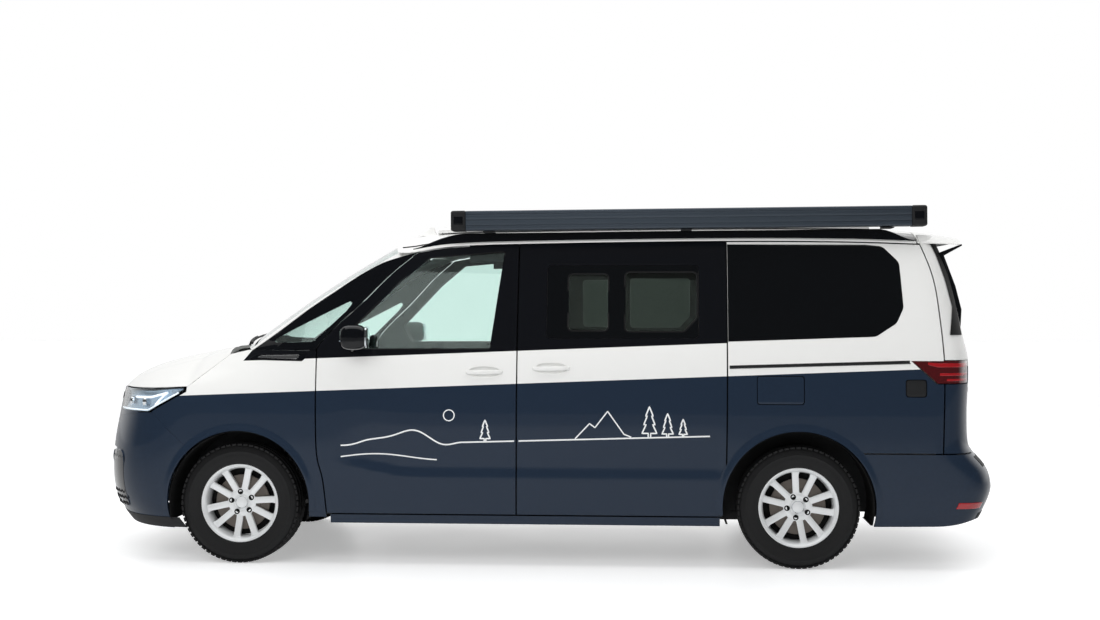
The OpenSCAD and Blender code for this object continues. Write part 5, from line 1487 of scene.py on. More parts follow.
class RearBody(Assembly):
    """Rear side walls, bumper, tail lamps, tailgate and the two flaps."""

    FUEL = (REAR_AXLE - 100, 986.0, 260.0, 158.0)
    INLET = (REAR_AXLE + 632, 999.0, 115.0, 97.0)

    def build(self) -> None:
        """Builds the rear of the van."""
        self.quarters()
        self.bumper()
        self.tail_lamps()
        self.tailgate()
        self.sills()

    @staticmethod
    def frame(x: float, z: float, w: float, h: float, grow: float) -> Path:
        """Returns a flap's rounded outline."""
        a, b = w / 2 + grow, h / 2 + grow
        return rounded_outline([(x - a, z - b), (x + a, z - b), (x + a, z + b), (x - a, z + b)], 16)

    def quarters(self) -> None:
        """Builds the side walls behind the sliding doors; the flaps are on the left side only."""
        for side in Side:
            name = side.name.lower()
            wall = side_sheet(f"rear_wall_{name}", lambda z: c_post(z) + GAP / 2,
                lambda z: rear_shut(z) - GAP, 560, lambda u: cantrail(mix(C_POST, TAIL_SHUT, u)) - 3, 52, 60,
                0, 22)
            lamp = [(REAR_AXLE + 606, 1148.8), (REAR_AXLE + 900, 1148.8), (REAR_AXLE + 900, 1022),
                (REAR_AXLE + 742, 1022)]
            cut(wall, disc_cutter(REAR_AXLE, REAR_ARCH_R), side_cutter(rounded_outline(QUARTER_WINDOW, 60)),
                side_cutter([(REAR_AXLE, 500), (REAR_AXLE + 1200, 500), (REAR_AXLE + 1200, 646),
                (REAR_AXLE, 646)]), side_cutter(lamp))
            if side is Side.LEFT:
                cut(wall, *(side_cutter(self.frame(*f, -GAP / 2 + 4)) for f in (self.FUEL, self.INLET)))
            soften(wall, 30)
            self.paint.dress(wall, Stock.BODY)
            if side is Side.RIGHT:
                left, wall = wall, mirrored(wall, "rear_wall_right_side")
                bpy.data.objects.remove(left)
            self.fit(wall, SHELL, "paint_white", *(("rear_quarters",) if side is Side.LEFT else ()))
        lining = side_sheet("rear_wall_lining_left", lambda z: c_post(z) + 14, lambda z: rear_shut(z) - 40,
            560, lambda u: cantrail(mix(C_POST, TAIL_SHUT, u)) - 16, 20, 24, 40, 18)
        cut(lining, disc_cutter(REAR_AXLE, REAR_ARCH_R + 14))
        self.both(lining, Stock.TRIM, soft=30)
        self.both(ribbon("slide_rail_left", line([(1100, 1114), (2078, 1143.4)]), 15, -1.2, 6), Stock.BLACK,
            soft=40)
        self.both(ribbon("slide_rail_bead_left", line([(1100, 1105), (2082, 1134)]), 3.5, -2.4, 5),
            Stock.CHROME, soft=40)
        for name, body, node, place in (("filler_flap", "filler_flap", "fuel_flap", self.FUEL),
                ("inlet_flap", "inlet_flap", "socket_flap", self.INLET)):
            x, z, w, h = place
            flap = overlay(name + "_lid", self.frame(x, z, w, h, -GAP / 2), 0.0, 7.5, 20)
            stock = Stock.BLUE if name == "filler_flap" else Stock.BLACK
            self.put(bevelled(flap, 1.2), stock, body, node=node, slot="paint_blue")
            self.put(overlay(name + "_well", self.frame(x, z, w, h, 6), 20, 4, 20), Stock.LINER, soft=30)

    def bumper(self) -> None:
        """Builds the rear bumper with its tread strip, lower lip, parking sensors and reflectors."""

        def low(s: float) -> float:
            """Returns the height of the lower edge, which rises from the wheel arches to the tail."""
            return SILL_Z + 4 + 38 * (1 - smooth(0.55, 1.0, abs(s)))

        obj = slab("bumper_rear", lambda u, v, t: tail_pt((s := mix(-1, 1, v)), mix(low(s), 638, u), t), 28,
            96, 0.0, 22.0)
        hole = face_prism(round_hole(520, 430, 24), TAIL_X - 216, TAIL_X + 184)
        cut(obj, disc_cutter(REAR_AXLE, REAR_ARCH_R), hole)
        self.put(obj, Stock.BLUE, node="rear_bumper", soft=30)
        strip = slab("bumper_tread", lambda u, v, t: tail_pt(mix(-0.5, 0.5, v), mix(566, 622, u), t), 4, 64,
            -2.0, 2.0)
        self.put(bevelled(strip, 1), Stock.BLACK)
        lip = slab("bumper_rear_lip", lambda u, v, t: tail_pt(mix(-0.56, 0.56, v), mix(low(0) + 2, 314, u),
            t), 4, 64, -2.5, 1.0)
        self.put(bevelled(lip, 1), Stock.BLACK)
        for k in range(4):
            y = (-1.5 + k) * 330
            self.put(loft(f"parking_sensor_{k}", [egg((self.tail_at(y, 500)[0] + d, y, 500), (0, q, q), 2, 0,
                20) for d, q in ((-4, 11), (0.8, 11), (1.6, 9))]), Stock.BLUE)
        mark = slab("reflector_left", lambda u, v, t: tail_pt(mix(-0.86, -0.6, v), mix(344, 378, u), t), 3,
            20, -4.0, 2.0)
        self.both(bevelled(mark, 2), Stock.RED)

    @staticmethod
    def tail_at(y: float, z: float) -> Point:
        """Returns the point of the tail at a place in y and z."""
        m = math.degrees(math.asin(min(1.0, abs(y) / curve(SIDE_KEYS, z)) ** (TAIL_POWER / 2))) / 90
        return tail_pt(math.copysign(0.9 * m, y), z)

    @staticmethod
    def lamp_pt(i: float, v: float, t: float) -> Point:
        """Returns a point of the left tail lamp, i from 0 at the wall to 9 on the gate, v up, t inwards."""
        spots = (0.912, 0.9, 0.885, 0.866, 0.82, 0.76, 0.68, 0.6, 0.52, 0.44)
        k = min(8, int(i))
        s = mix(spots[k], spots[k + 1], i - k)
        p = tail_pt(-s, 1148, 1)
        low = max(1027.0, 1146 - 0.88 * (p[0] - tail_pt(-spots[0], 1148)[0]))
        q = tail_pt(-s, mix(low, 1148, v), 1)
        return q[0] - t * max(0.0, i - 2) / 7, q[1] + t * (0.9 - i / 12), q[2]

    def tail_lamps(self) -> None:
        """Builds each tail lamp with a dark case, its light bands and a deeper red field."""
        self.both(slab("tail_lamp_left", lambda u, v, t: self.lamp_pt(9 * u, v, t), 54, 12, 1.0, 46.0),
            Stock.DEEP_RED, nodes=("tail_lamps", ""), soft=30)
        for k, (lo, hi, a, b, stock) in enumerate(((0.72, 0.9, 1.2, 8.7, Stock.RED),
                (0.34, 0.46, 3.2, 8.7, Stock.RED), (0.1, 0.2, 4.2, 8.7, Stock.RED))):
            band = slab(f"tail_light_{k}_left", lambda u, v, t: self.lamp_pt(mix(a, b, u), mix(lo, hi, v), t),
                40, 3, -1.0, 3.0)
            self.both(bevelled(band, 0.8), stock, slot="lamp_red")

    def tailgate(self) -> None:
        """Builds the tailgate, its window, spoiler, corner blades, plate recess and wiper."""
        body = "tail_door"
        sheet = slab("tailgate_sheet", gate_pt, 48, 60, 0.0, 40.0)
        outline = [(-620, 1290), (620, 1290), (540, 1700), (-540, 1700)]
        cut(sheet, face_prism(rounded_outline(outline, 40), TAIL_X - 700, TAIL_X))
        for s in (-1, 1):
            y0, y1 = sorted((s * 742.0, s * 1300.0))
            cut(sheet, face_prism([(y0, 1021), (y1, 1021), (y1, 1154), (y0, 1154)], TAIL_X - 400,
                TAIL_X + 400))
        recess = rounded_outline([(-290, 800), (290, 800), (290, 950), (-290, 950)], 18)
        cut(sheet, face_prism(recess, self.tail_at(0, 870)[0] - 14, TAIL_X))
        self.put(sheet, Stock.BODY, body, node="tailgate", soft=30)
        plate = face_prism(rounded_outline([(-258, 818), (258, 818), (258, 930), (-258, 930)], 8),
            self.tail_at(0, 870)[0] - 13.5, self.tail_at(0, 870)[0] - 10)
        plate.name = "plate_rear"
        self.put(bevelled(plate, 1), Stock.PLATE, body)
        grip = slab("tailgate_grip", lambda u, v, t: gate_pt(mix(0.36, 0.64, v), mix(0.262, 0.29, u), t), 3,
            20, -10.0, 2.0)
        self.put(bevelled(grip, 4, 3), Stock.PIANO, body)
        glass = slab("tailgate_pane", lambda u, v, t: gate_pt(mix(0.1, 0.9, u), mix(0.5, 0.93, v), t), 40, 30,
            3.0, 8.0)
        cut(glass, face_prism(rounded_outline(outline, 40, -1), TAIL_X - 700, TAIL_X), keep=True)
        self.put(glass, Stock.DARK, body, node="tailgate_glass", soft=32)

        def spoiler(u: float, v: float, t: float) -> Point:
            """Returns a point of the spoiler."""
            s = mix(-1, 1, v)
            edge = roof_edge_y(TAIL_SHUT) - 4
            top = roof_z(TAIL_SHUT, s * edge) - 46 * u**1.5 * (1 - s**4) - 10 * u * s**4
            return (mix(TAIL_SHUT, TAIL_X - 130 - 60 * s * s, u), s * mix(edge, 690, u),
                top - t * mix(1, 0.35, u) * (1 - 0.84 * s ** 6))

        self.put(slab("tailgate_spoiler", spoiler, 16, 48, 0.0, 44.0), Stock.WHITE, body, soft=40)

        def lamp(u: float, v: float, t: float) -> Point:
            """Returns a point of the high stop lamp, in the spoiler's rear edge."""
            p = spoiler(1.0, mix(0.42, 0.58, v), mix(8, 38, u))
            return p[0] - t, p[1], p[2]

        self.put(slab("high_stop_lamp", lamp, 2, 8, 0.0, 6.0), Stock.RED, body)
        self.put(slab("spoiler_lining", lambda u, v, t: spoiler(mix(0.2, 0.97, u), mix(0.03, 0.97, v), t), 8,
            40, 46.0, 50.0), Stock.BLACK, body, soft=32)
        edge = slab("gate_blade_left", lambda u, v, t: gate_pt(mix(0.0, 0.2, u), mix(0.3, 0.965, v), t), 24,
            48, -5.0, 2.0)
        cut(edge, prism("cutter", [(2215, 1832), (2318, 1842), (2420, 1800), (2420, 1290), (2303, 1290),
            (2332, 1446), (2298, 1600), (2254, 1737), (2232, 1790)], -1300, 0), keep=True)
        self.both(bevelled(edge, 1), Stock.SEAL, (body, body), slot="gloss_black")
        fin = prism("gate_fin_left", [(2262, 1716), (2270, 1745), (2403, 1797), (2407, 1788), (2306, 1732),
            (2370, 1560), (2403, 1430), (2398, 1330), (2404, 1290), (2324, 1286), (2346, 1446), (2318, 1560)],
            -707, -692)
        self.both(bevelled(fin, 2.5), Stock.PIANO, (body, body))
        arm = [(self.glass_x(y, z) + 14, y, z) for y, z in ((0, 1262), (-40, 1290), (-220, 1322),
            (-400, 1352))]
        self.put(tube("tailgate_wiper", arm, (13, 9, 7, 6), 10), Stock.SEAL, body)

    @staticmethod
    def glass_x(y: float, z: float) -> float:
        """Returns the tail's X at a place, on or above the tailgate's sheet."""
        return RearBody.tail_at(y, z)[0]

    def sills(self) -> None:
        """Builds the painted skirts below the side doors."""
        skirt = side_sheet("sill_skirt_left", lambda z: FRONT_AXLE + 524,
            lambda z: REAR_AXLE - REAR_ARCH_R - 12, SILL_Z + 1, lambda u: DOOR_LOW_Z - GAP, 48, 8, 0.6, 3)
        cut(skirt, disc_cutter(REAR_AXLE, REAR_ARCH_R + 14))
        self.both(skirt, Stock.BLUE, soft=40)


class RoofParts(Assembly):
    """Roof, pop-up roof, bonnet, awning case and the fairings that carry it."""

    def build(self) -> None:
        """Builds what the van carries on top."""
        self.roof()
        self.pop_roof()
        self.bonnet()
        self.fairings()
        self.awning()

    def roof(self) -> None:
        """Builds the roof's sheet with its hatch, its seams and the aerial."""
        sheet = slab("roof_sheet", roof_pt, 56, 64, 0.0, 1.0)
        x0, x1, y = FRONT_AXLE + 1268, REAR_AXLE + 44, POP_HALF_W - 70
        cut(sheet, prism("cutter", [(x0, 1700), (x1, 1700), (x1, 2000), (x0, 2000)], -y, y))
        self.put(sheet, Stock.WHITE, node="roof", soft=30)
        for s in (-1, 1):
            path = [(x, s * (roof_edge_y(x) - 46), roof_z(x, roof_edge_y(x) - 46) + 0.5)
                for x in (mix(FRONT_AXLE + 900, TAIL_SHUT - 30, k / 40) for k in range(41))]
            self.put(tube(f"roof_seam_{Side(s).name.lower()}", path, 4.5, 8), Stock.SEAL)
        p = (FRONT_AXLE + 1000, -470.0)
        z = roof_z(*p)
        self.put(loft("aerial", [egg((p[0] + d, p[1], z + h), (a, b, 0), 2.2, 2, 24)
            for d, h, a, b in ((0, -3, 58, 22), (4, 8, 50, 17), (14, 24, 34, 10), (24, 40, 20, 6),
            (30, 48, 10, 3))]), Stock.WHITE)

    def pop_roof(self) -> None:
        """Builds the pop-up roof's shell with its pressed ribs and its seal."""

        def place(u: float, v: float, t: float) -> Point:
            """Returns a point of the shell, its top pressed into shallow ribs."""
            p = pop_pt(u, v, t)
            if not t:
                return p
            s = abs(2 * v - 1)
            rib = sum(math.exp(-((s - q) / 0.025) ** 2) for q in (0.18, 0.44, 0.7))
            return p[0], p[1], p[2] - 5 * rib * smooth(0.06, 0.12, u) * (1 - smooth(0.88, 0.94, u))

        self.put(slab("pop_roof_lid", place, 60, 80, POP_H, 0.0), Stock.WHITE, "pop_roof", node="pop_top",
            soft=40)
        ring = [pop_pt(u, v, -3) for u, v in [(k / 40, 0.012) for k in range(41)]
            + [(0.99, k / 30) for k in range(1, 31)] + [(1 - k / 40, 0.988) for k in range(1, 41)]
            + [(0.01, 1 - k / 30) for k in range(1, 31)]]
        self.put(tube("pop_roof_seal", [(x, y, z + 1) for x, y, z in ring], 4, 8), Stock.SEAL)

    def bonnet(self) -> None:
        """Builds the bonnet with two creases."""

        def place(u: float, v: float, t: float) -> Point:
            """Returns a point of the bonnet."""
            x, y, z = bonnet_pt(u, v, t)
            crease = math.exp(-((abs(2 * v - 1) - 0.62) / 0.05) ** 2) * smooth(0.0, 0.3, u)
            return x, y, z - (3.5 * crease if t == 0 else 0)

        self.put(slab("bonnet_sheet", place, 48, 80, 0.0, BONNET_T), Stock.WHITE, "bonnet_lid", node="bonnet",
            soft=30)

    @staticmethod
    def awning_low(x: float) -> float:
        """Returns the height of the awning case's underside."""
        return AWNING_AT[2] + math.tan(math.radians(AWNING_TILT)) * (x - AWNING_AT[0])

    def fairings(self) -> None:
        """Builds the black fairings between the roof's edges and the awning case."""
        for s in Side:
            def place(u: float, v: float, t: float) -> Point:
                """Returns a point of the fairing."""
                j = mix(1, 1.15 + 1.85 * smooth(0.0, 0.16, u), v) / 16
                q = roof_pt(mix(0.03, 1, u), j if s is Side.LEFT else 1 - j, 0)
                high = self.awning_low(q[0]) - 8.5
                rise = smooth(0.0, 0.11, u) * (1 - smooth(0.925, 1.0, u)) * (1 - smooth(0.5, 0.95, v))
                return q[0], q[1], q[2] + 0.5 + t * (3 + max(0.0, high - q[2] - 3.5) * rise)

            self.put(slab(f"roof_fairing_{s.name.lower()}", place, 70, 12, 1.0, 0.0), Stock.PIANO,
                node="roof_fairings" if s is Side.LEFT else "", soft=40)

    def section(self, grow: float = 0.0) -> Path:
        """Returns the awning case's outline in y and z, from its lower outer corner."""
        h, d = AWNING_H, AWNING_D
        return rounded_outline([(0, 0), (d - 4, 0), (d - 4, h - 44), (d - 30, h), (0, h)], 14, grow, 5)

    def run(self, name: str, outline: Flat, x0: float, x1: float) -> Piece:
        """Makes a length of the awning's section, tilted as it is mounted."""
        obj = face_prism(outline, x0, x1)
        obj.name = name
        at = Vector(AWNING_AT) * MM
        obj.data.transform(Matrix.Translation(at) @ Matrix.Rotation(math.radians(-AWNING_TILT), 4, "Y"))
        return obj

    def awning(self) -> None:
        """Builds the awning case with its grooves, front rail, end caps with their discs, and brackets."""
        case = self.run("awning_case", self.section(-2.0), -4, AWNING_L + 4)
        for z in (30.0, 62.0, 94.0):
            cut(case, self.run("cutter", [(-6, z - 2), (4.5, z - 2), (4.5, z + 2), (-6, z + 2)], -60,
                AWNING_L + 60))
        self.put(bevelled(case, 0.8, 1), Stock.AWNING, node="awning")
        rail = self.run("awning_front_rail", [(1.2, 33), (1.2, 59), (5, 59), (5, 33)], 2, AWNING_L - 2)
        self.put(bevelled(rail, 0.8), Stock.AWNING)
        for k, (x0, x1) in enumerate(((-90, -2), (AWNING_L + 2, AWNING_L + 90))):
            self.put(bevelled(self.run(f"awning_cap_{k}", self.section(0.0), x0, x1), 22, 6), Stock.BLACK)
            mid = (x0 + x1) / 2
            badge = self.run(f"awning_cap_disc_{k}", rounded_outline([(-0.6, 34), (3, 34), (3, 82),
                (-0.6, 82)], 1), mid - 26, mid + 26)
            self.put(bevelled(badge, 1), Stock.PIANO, slot="black_plastic")
        for k, x in enumerate((120, AWNING_L / 2, AWNING_L - 120)):
            bracket = self.run(f"awning_bracket_{k}", [(16, -8), (148, -8), (148, 26), (116, 26), (116, -1),
                (16, -1)], x - 30, x + 30)
            self.put(bevelled(bracket, 1.5), Stock.BLACK)


class Wheels(Assembly):
    """Four tyres on cast rims with twin spokes, and their brake discs."""

    HUB_R, BOLT_R = 74.0, 60.0

    def build(self) -> None:
        """Builds all four wheels; a wheel's spokes stand as they are turned in the photograph."""
        for name, x, phase in (("front", FRONT_AXLE, -10.0), ("rear", REAR_AXLE, 7.0)):
            wheels = (f"{name}_left_wheel", f"{name}_right_wheel")
            tyre = self.tyre(f"tyre_{name}_left_rubber", x)
            self.pair(tyre, wheels, "tyre_rubber", (f"tyre_{name}_left", f"tyre_{name}_right"))
            for part, slot, main_piece in self.rim(name, x, phase):
                nodes = (f"rim_{name}_left", f"rim_{name}_right") if main_piece else ("", "")
                self.pair(part, wheels, slot, nodes)

    def tyre(self, name: str, x: float) -> Piece:
        """Builds a tyre with tread grooves, shoulder blocks and sidewall rings."""
        w, r = TYRE_W / 2, TYRE_R
        half = [(RIM_R - 11, w - 21), (RIM_R + 2, w - 9), (RIM_R + 12, w - 5), (RIM_R + 16, w - 5.5),
            (RIM_R + 30, w - 1.5), (RIM_R + 50, w - 0.5), (RIM_R + 66, w - 1.5), (RIM_R + 70, w - 0.2),
            (RIM_R + 74, w - 2.5), (r - 28, w - 9), (r - 16, w - 17), (r - 7, w - 28), (r - 3, w - 36),
            (r - 1, 58), (r - 9, 56), (r - 9, 48), (r - 0.4, 46), (r - 0.2, 12), (r - 9, 10), (r - 9, 4),
            (r - 0.2, 2)]
        profile = [(a, -b) for a, b in half] + [(a, b) for a, b in half[::-1]]
        body = lathe("carcass", profile, (x, -WHEEL_Y, TYRE_R), 120, closed=True)
        self.paint.dress(body, Stock.TYRE)
        marks = []
        for k in range(64):
            for s in (-1, 1):
                a = math.tau * (k + (0.25 if s > 0 else 0)) / 64
                turn = Matrix.Rotation(-a, 3, "Y")
                marks.append(((x + (r - 11) * math.cos(a), -WHEEL_Y + s * (w - 27),
                    TYRE_R + (r - 11) * math.sin(a)), turn))
        lug = make("lug", [(q, y, z) for q in (-3, 8) for y in (-17, 15) for z in (-12, 12)], BOX_FACES)
        outward(lug)
        blocks = self.scatter.set_out("lugs", marks, lug, self.paint.get(Stock.TYRE))
        both = joined(name, [body, blocks])
        return both

    def arm(self, side: int) -> Piece:
        """Makes one spoke's arm about the origin, its hub at the centre and its length along X."""

        def place(u: float, v: float, t: float) -> Point:
            """Returns a point of the arm."""
            q = 2 * v - 1
            wide = 18.5 + 5 * (1 - smooth(0, 0.2, u)) + 8 * smooth(0.8, 1, u)
            face = -mix(47, 73, u**1.6) + 4.5 * q**4 + (5 if t else 0)
            return mix(46, RIM_R - 17, u), face + t * mix(20, 14, u), side * mix(16.5, 57, u) + wide * q

        return slab("arm", place, 20, 8, 0.0, 1.0)

    def rim(self, name: str, x: float, phase: float) -> list[tuple[Piece, str, bool]]:
        """Builds a wheel's rim and cap, a flat dark disc of painted shade in each bolt's recess, the brake
        disc and a dark disc of painted shade inside the wheel.

        Args:
            name: the axle's name.
            x: the axle's place.
            phase: the turn of the first pair of spokes, in degrees.

        Returns:
            Each piece with its material slot, and True for the one that stands for the CAD rim.
        """
        w, centre = TYRE_W / 2, (x, -WHEEL_Y, TYRE_R)
        barrel = [(RIM_R - 12.3, -w + 20), (RIM_R - 3, -w + 16), (RIM_R - 1, -w + 12), (RIM_R - 5, -w + 10),
            (RIM_R - 14, -w + 15), (RIM_R - 20, -w + 24), (RIM_R - 24, -w + 34), (RIM_R - 30, -30),
            (RIM_R - 32, 60), (RIM_R - 18, w - 16), (RIM_R - 12.3, w - 10), (RIM_R - 20, w - 30),
            (RIM_R - 26, 50), (RIM_R - 25, -26), (RIM_R - 15, -w + 34)]
        body = self.paint.dress(lathe("barrel", barrel, centre, 120, closed=True), Stock.ALLOY)
        hub = [(0, -34), (self.HUB_R - 8, -34), (self.HUB_R + 6, -44), (self.HUB_R - 6, -51), (50, -49),
            (44, -46), (36, -50), (33, -56), (30, -57), (24, -60), (0, -61), (0, -34)]
        centre_piece = self.paint.dress(lathe("hub", hub[:-1], centre, 96, closed=True), Stock.ALLOY)
        arms = []
        for side in (-1, 1):
            marks = [(centre, Matrix.Rotation(-math.radians(phase + 72 * k), 3, "Y")) for k in range(5)]
            arms.append(self.scatter.set_out(f"arms_{side}", marks, self.arm(side),
                self.paint.get(Stock.ALLOY)))
        rim = soften(joined(f"rim_{name}_left_alloy", [body, centre_piece, *arms]), 40)
        angles = [math.radians(phase + 36 + 72 * k) for k in range(5)]
        turns = [((x + self.BOLT_R * math.cos(a), -WHEEL_Y, TYRE_R + self.BOLT_R * math.sin(a)),
            Matrix.Rotation(-a, 3, "Y")) for a in angles]
        # each bolt is drawn as a flat near-black disc without a highlight: painted shade for the recess round
        # it
        bolt = lathe("bolt", [(0, -50.2), (8, -50.2), (10, -51.6), (14.5, -51.4), (15.5, -50.8), (15.5, -45),
            (0, -45)], (0, 0, 0), 24)
        bolt_recess_shade = self.scatter.set_out(f"bolts_{name}_left", turns, bolt, self.paint.get(Stock.BOLT))
        ring = lathe(f"cap_ring_{name}_left", [(30.5, -56), (32.5, -58.6), (34.5, -56), (32, -54)], centre,
            64, closed=True)
        disc = [(0, 10), (72, 10), (72, -14), (74, -14), (154, -14), (155, -16), (155, -22), (154, -24),
            (104, -24), (102, -28), (60, -30), (0, -30)]
        brake = self.paint.dress(lathe(f"brake_disc_{name}_left", disc, centre, 96), Stock.DISC)
        # a near-black disc behind the brake disc is painted shade for the dark inside of the wheel
        shade = lathe(f"wheel_shade_{name}_left", [(10, 4), (RIM_R - 34, 4), (RIM_R - 34, 8), (10, 8)],
            centre, 64, closed=True)
        return [(rim, "alloy", True), (bolt_recess_shade, "engine_metal", False),
            (self.paint.dress(ring, Stock.CHROME), "alloy", False), (brake, "engine_metal", False),
            (self.paint.dress(shade, Stock.LINER), "black_plastic", False)]


class Cabin(Assembly):
    """Seats, dashboard, steering wheel, kitchen and the floor covering."""

    def build(self) -> None:
        """Builds the inside of the van."""
        for s in Side:
            self.seat(s)
        self.bench()
        self.dashboard()
        self.steering_wheel()
        self.kitchen()
        self.liner()

    def cushion(self, name: str, low: Point, high: Point, crown: float, axis: int,
            lines: Sequence[float] = (), turn: float = 0.0, pivot: Point | None = None) -> Piece:
        """Builds a stuffed cushion that swells towards one side and dips along its seams.

        Args:
            name: the piece's name.
            low: its lowest corner.
            high: its highest corner.
            crown: how far its middle swells.
            axis: the axis it swells along, 0 or 2, towards the sitter.
            lines: the seams' places across, from -1 to 1.
            turn: its lean about Y, in degrees.
            pivot: the point it leans about.

        Returns:
            The cushion.
        """
        c = [(a + b) / 2 for a, b in zip(low, high)]
        h = [(b - a) / 2 for a, b in zip(low, high)]
        bm = bmesh.new()
        bmesh.ops.create_cube(bm, size=2.0)
        bmesh.ops.subdivide_edges(bm, edges=bm.edges, cuts=25, use_grid_fill=True)
        sign = 1 if axis == 2 else -1
        for v in bm.verts:
            p = v.co
            size = (abs(p.x) ** 7 + abs(p.y) ** 7 + abs(p.z) ** 7) ** (1 / 7)
            q = [p.x / size, p.y / size, p.z / size]
            across, along = q[1], q[0] if axis == 2 else q[2]
            face = max(0.0, sign * q[axis]) ** 3
            swell = crown * (1 - across**4) * (1 - along**4) * face
            seam = sum(math.exp(-((across - s) / 0.035) ** 2) for s in lines)
            seam += 0.8 * math.exp(-((along - 0.28) / 0.035) ** 2)
            worn = 1.6 * math.sin(7 * across + 3 * along) * math.sin(5 * along - 2 * across)
            q[axis] += sign * (swell - face * (7 * seam - worn) - crown * face) / h[axis]
            v.co = [(c[i] + q[i] * h[i]) * MM for i in range(3)]
        mesh = bpy.data.meshes.new(name)
        bm.to_mesh(mesh)
        bm.free()
        obj = bpy.data.objects.new(name, mesh)
        bpy.context.scene.collection.objects.link(obj)
        self.lean(obj, turn, pivot)
        self.paint.dress(soften(obj, 80), Stock.SEAT)
        return obj

    @staticmethod
    def lean(obj: Piece, turn: float, pivot: Point | None) -> Piece:
        """Leans a piece about Y."""
        if turn and pivot:
            p = Vector(pivot) * MM
            obj.data.transform(Matrix.Translation(p) @ Matrix.Rotation(math.radians(turn), 4,
                "Y") @ Matrix.Translation(-p))
        return obj

    def piping(self, name: str, low: Point, high: Point, axis: int, turn: float = 0.0,
            pivot: Point | None = None) -> Piece:
        """Builds the piping round a cushion's face."""
        path: list[Point] = []
        for k in range(65):
            a = math.tau * k / 64
            e = 2 / 9
            ca, sa = math.cos(a), math.sin(a)
            y = (low[1] + high[1]) / 2 + math.copysign(abs(ca) ** e, ca) * (high[1] - low[1]) / 2 * 0.985
            o = 0 if axis == 2 else 2
            q = (low[o] + high[o]) / 2 + math.copysign(abs(sa) ** e, sa) * (high[o] - low[o]) / 2 * 0.985
            path.append((q, y, high[2] - 24) if axis == 2 else (low[0] + 20, y, q))
        obj = tube(name, path, 4.5, 8)
        self.lean(obj, turn, pivot)
        return self.paint.dress(obj, Stock.SEAM)

    def seat(self, s: Side) -> None:
        """Builds one front seat."""
        name, y0 = s.name.lower(), s.value * SEAT_Y - 250
        x0, z0 = B_POST - 560, FLOOR_Z + 0.3
        pads = {"base": ((x0, y0, z0 + 300), (x0 + 520, y0 + 500, z0 + 430), 26, 2, (-0.5, 0.5), 0.0, None),
            "back": ((x0 + 480, y0 + 10, z0 + 400), (x0 + 590, y0 + 490, z0 + 1020), 24, 0, (-0.5, 0.5), 14.0,
            (x0 + 480, y0, z0 + 400)), "headrest": ((x0 + 630, y0 + 120, z0 + 970),
            (x0 + 710, y0 + 380, z0 + 1150), 14, 0, (), 14.0, (x0 + 630, y0, z0 + 970))}
        for part, (low, high, crown, axis, lines, turn, pivot) in pads.items():
            pad = self.cushion(f"seat_{part}_{name}", low, high, crown, axis, lines, turn, pivot)
            self.fit(pad, SHELL, "seat_fabric", *(("front_seats",) if s is Side.LEFT and part == "base"
                else ()))
            self.fit(self.piping(f"seat_{part}_piping_{name}", low, high, axis, turn, pivot), SHELL,
                "seat_fabric")
        self.put(block(f"seat_plinth_{name}", (x0 + 60, y0 + 60, z0), (x0 + 440, y0 + 440, z0 + 306), 18),
            Stock.DASH)
        for k in (-60, 60):
            self.put(self.lean(tube(f"headrest_stem_{name}_{k + 60}",
                [(x0 + 560, y0 + 250 + k, z0 + 980), (x0 + 600, y0 + 250 + k, z0 + 1090)], 6, 10), 14.0,
                (x0 + 480, y0, z0 + 400)), Stock.CHROME)

    def bench(self) -> None:
        """Builds the rear bench, three places wide."""
        x0, z0 = REAR_AXLE - 160, FLOOR_Z + 0.3
        for part, low, high, axis, turn, crown in (("base", (x0, -400, z0 + 250), (x0 + 520, 600, z0 + 400),
                2, 0.0, 24), ("back", (x0 + 470, -400, z0 + 380), (x0 + 580, 600, z0 + 1000), 0, 12.0, 22)):
            pivot = (x0 + 470, 0, z0 + 380)
            pad = self.cushion(f"bench_{part}", low, high, crown, axis, (-0.34, 0.34), turn, pivot)
            self.fit(pad, SHELL, "seat_fabric", *(("rear_bench",) if part == "base" else ()))
            self.fit(self.piping(f"bench_{part}_piping", low, high, axis, turn, pivot), SHELL, "seat_fabric")
        self.put(block("bench_locker", (x0 + 12, -392, z0), (x0 + 510, 592, z0 + 256), 10), Stock.BOARD)

    def dashboard(self) -> None:
        """Builds the dashboard: a padded top, a shelf, screens, vents and the column's shroud."""
        rings = []
        for y in (-742, -736, -700, *range(-600, 601, 100), 700, 736, 742):
            q = 1 if abs(y) < 738 else 0.965
            hood = 46 * math.exp(-((y + SEAT_Y) / 190) ** 4)
            base = FRONT_AXLE
            profile = [(130, 952), (130, 1096), (150, 1118), (250, 1120), (330, 1092 + hood),
                (392, 1068 + hood), (420, 1040 + hood * 0.8), (430, 1000), (462, 990), (545, 996), (549, 980),
                (549, 830), (540, 806), (430, 802), (250, 900), (140, 944)]
            cx, cz = 340, 960
            rings.append([(base + cx + (px - cx) * q, y, cz + (pz - cz) * q) for px, pz in profile])
        dash = loft("dashboard_moulding", rings)
        hole = self.lean(tube("cutter", [(STEERING_AT[0], -SEAT_Y, STEERING_AT[2] - 300),
            (STEERING_AT[0], -SEAT_Y, STEERING_AT[2] - 50)], 30, 24), STEERING_TILT, STEERING_AT)
        cut(dash, hole)
        self.put(dash, Stock.DASH, node="dashboard", soft=35)
        for name, y, w, z, h in (("driver_screen", -SEAT_Y, 150, 1078, 46),
                ("centre_screen", 0, 130, 1052, 66)):
            x = FRONT_AXLE + 424
            panel = block(name, (x, y - w, z - h), (x + 12, y + w, z + h), 5)
            self.lean(panel, -12.0, (x, y, z))
            self.put(panel, Stock.DARK, slot="gloss_black")
        vents = []
        for y in (-690, -210, 210, 690):
            for k in range(5):
                vents.append(((FRONT_AXLE + 546, y * 0.94, 940 + 12.0 * k), Matrix.Identity(3)))
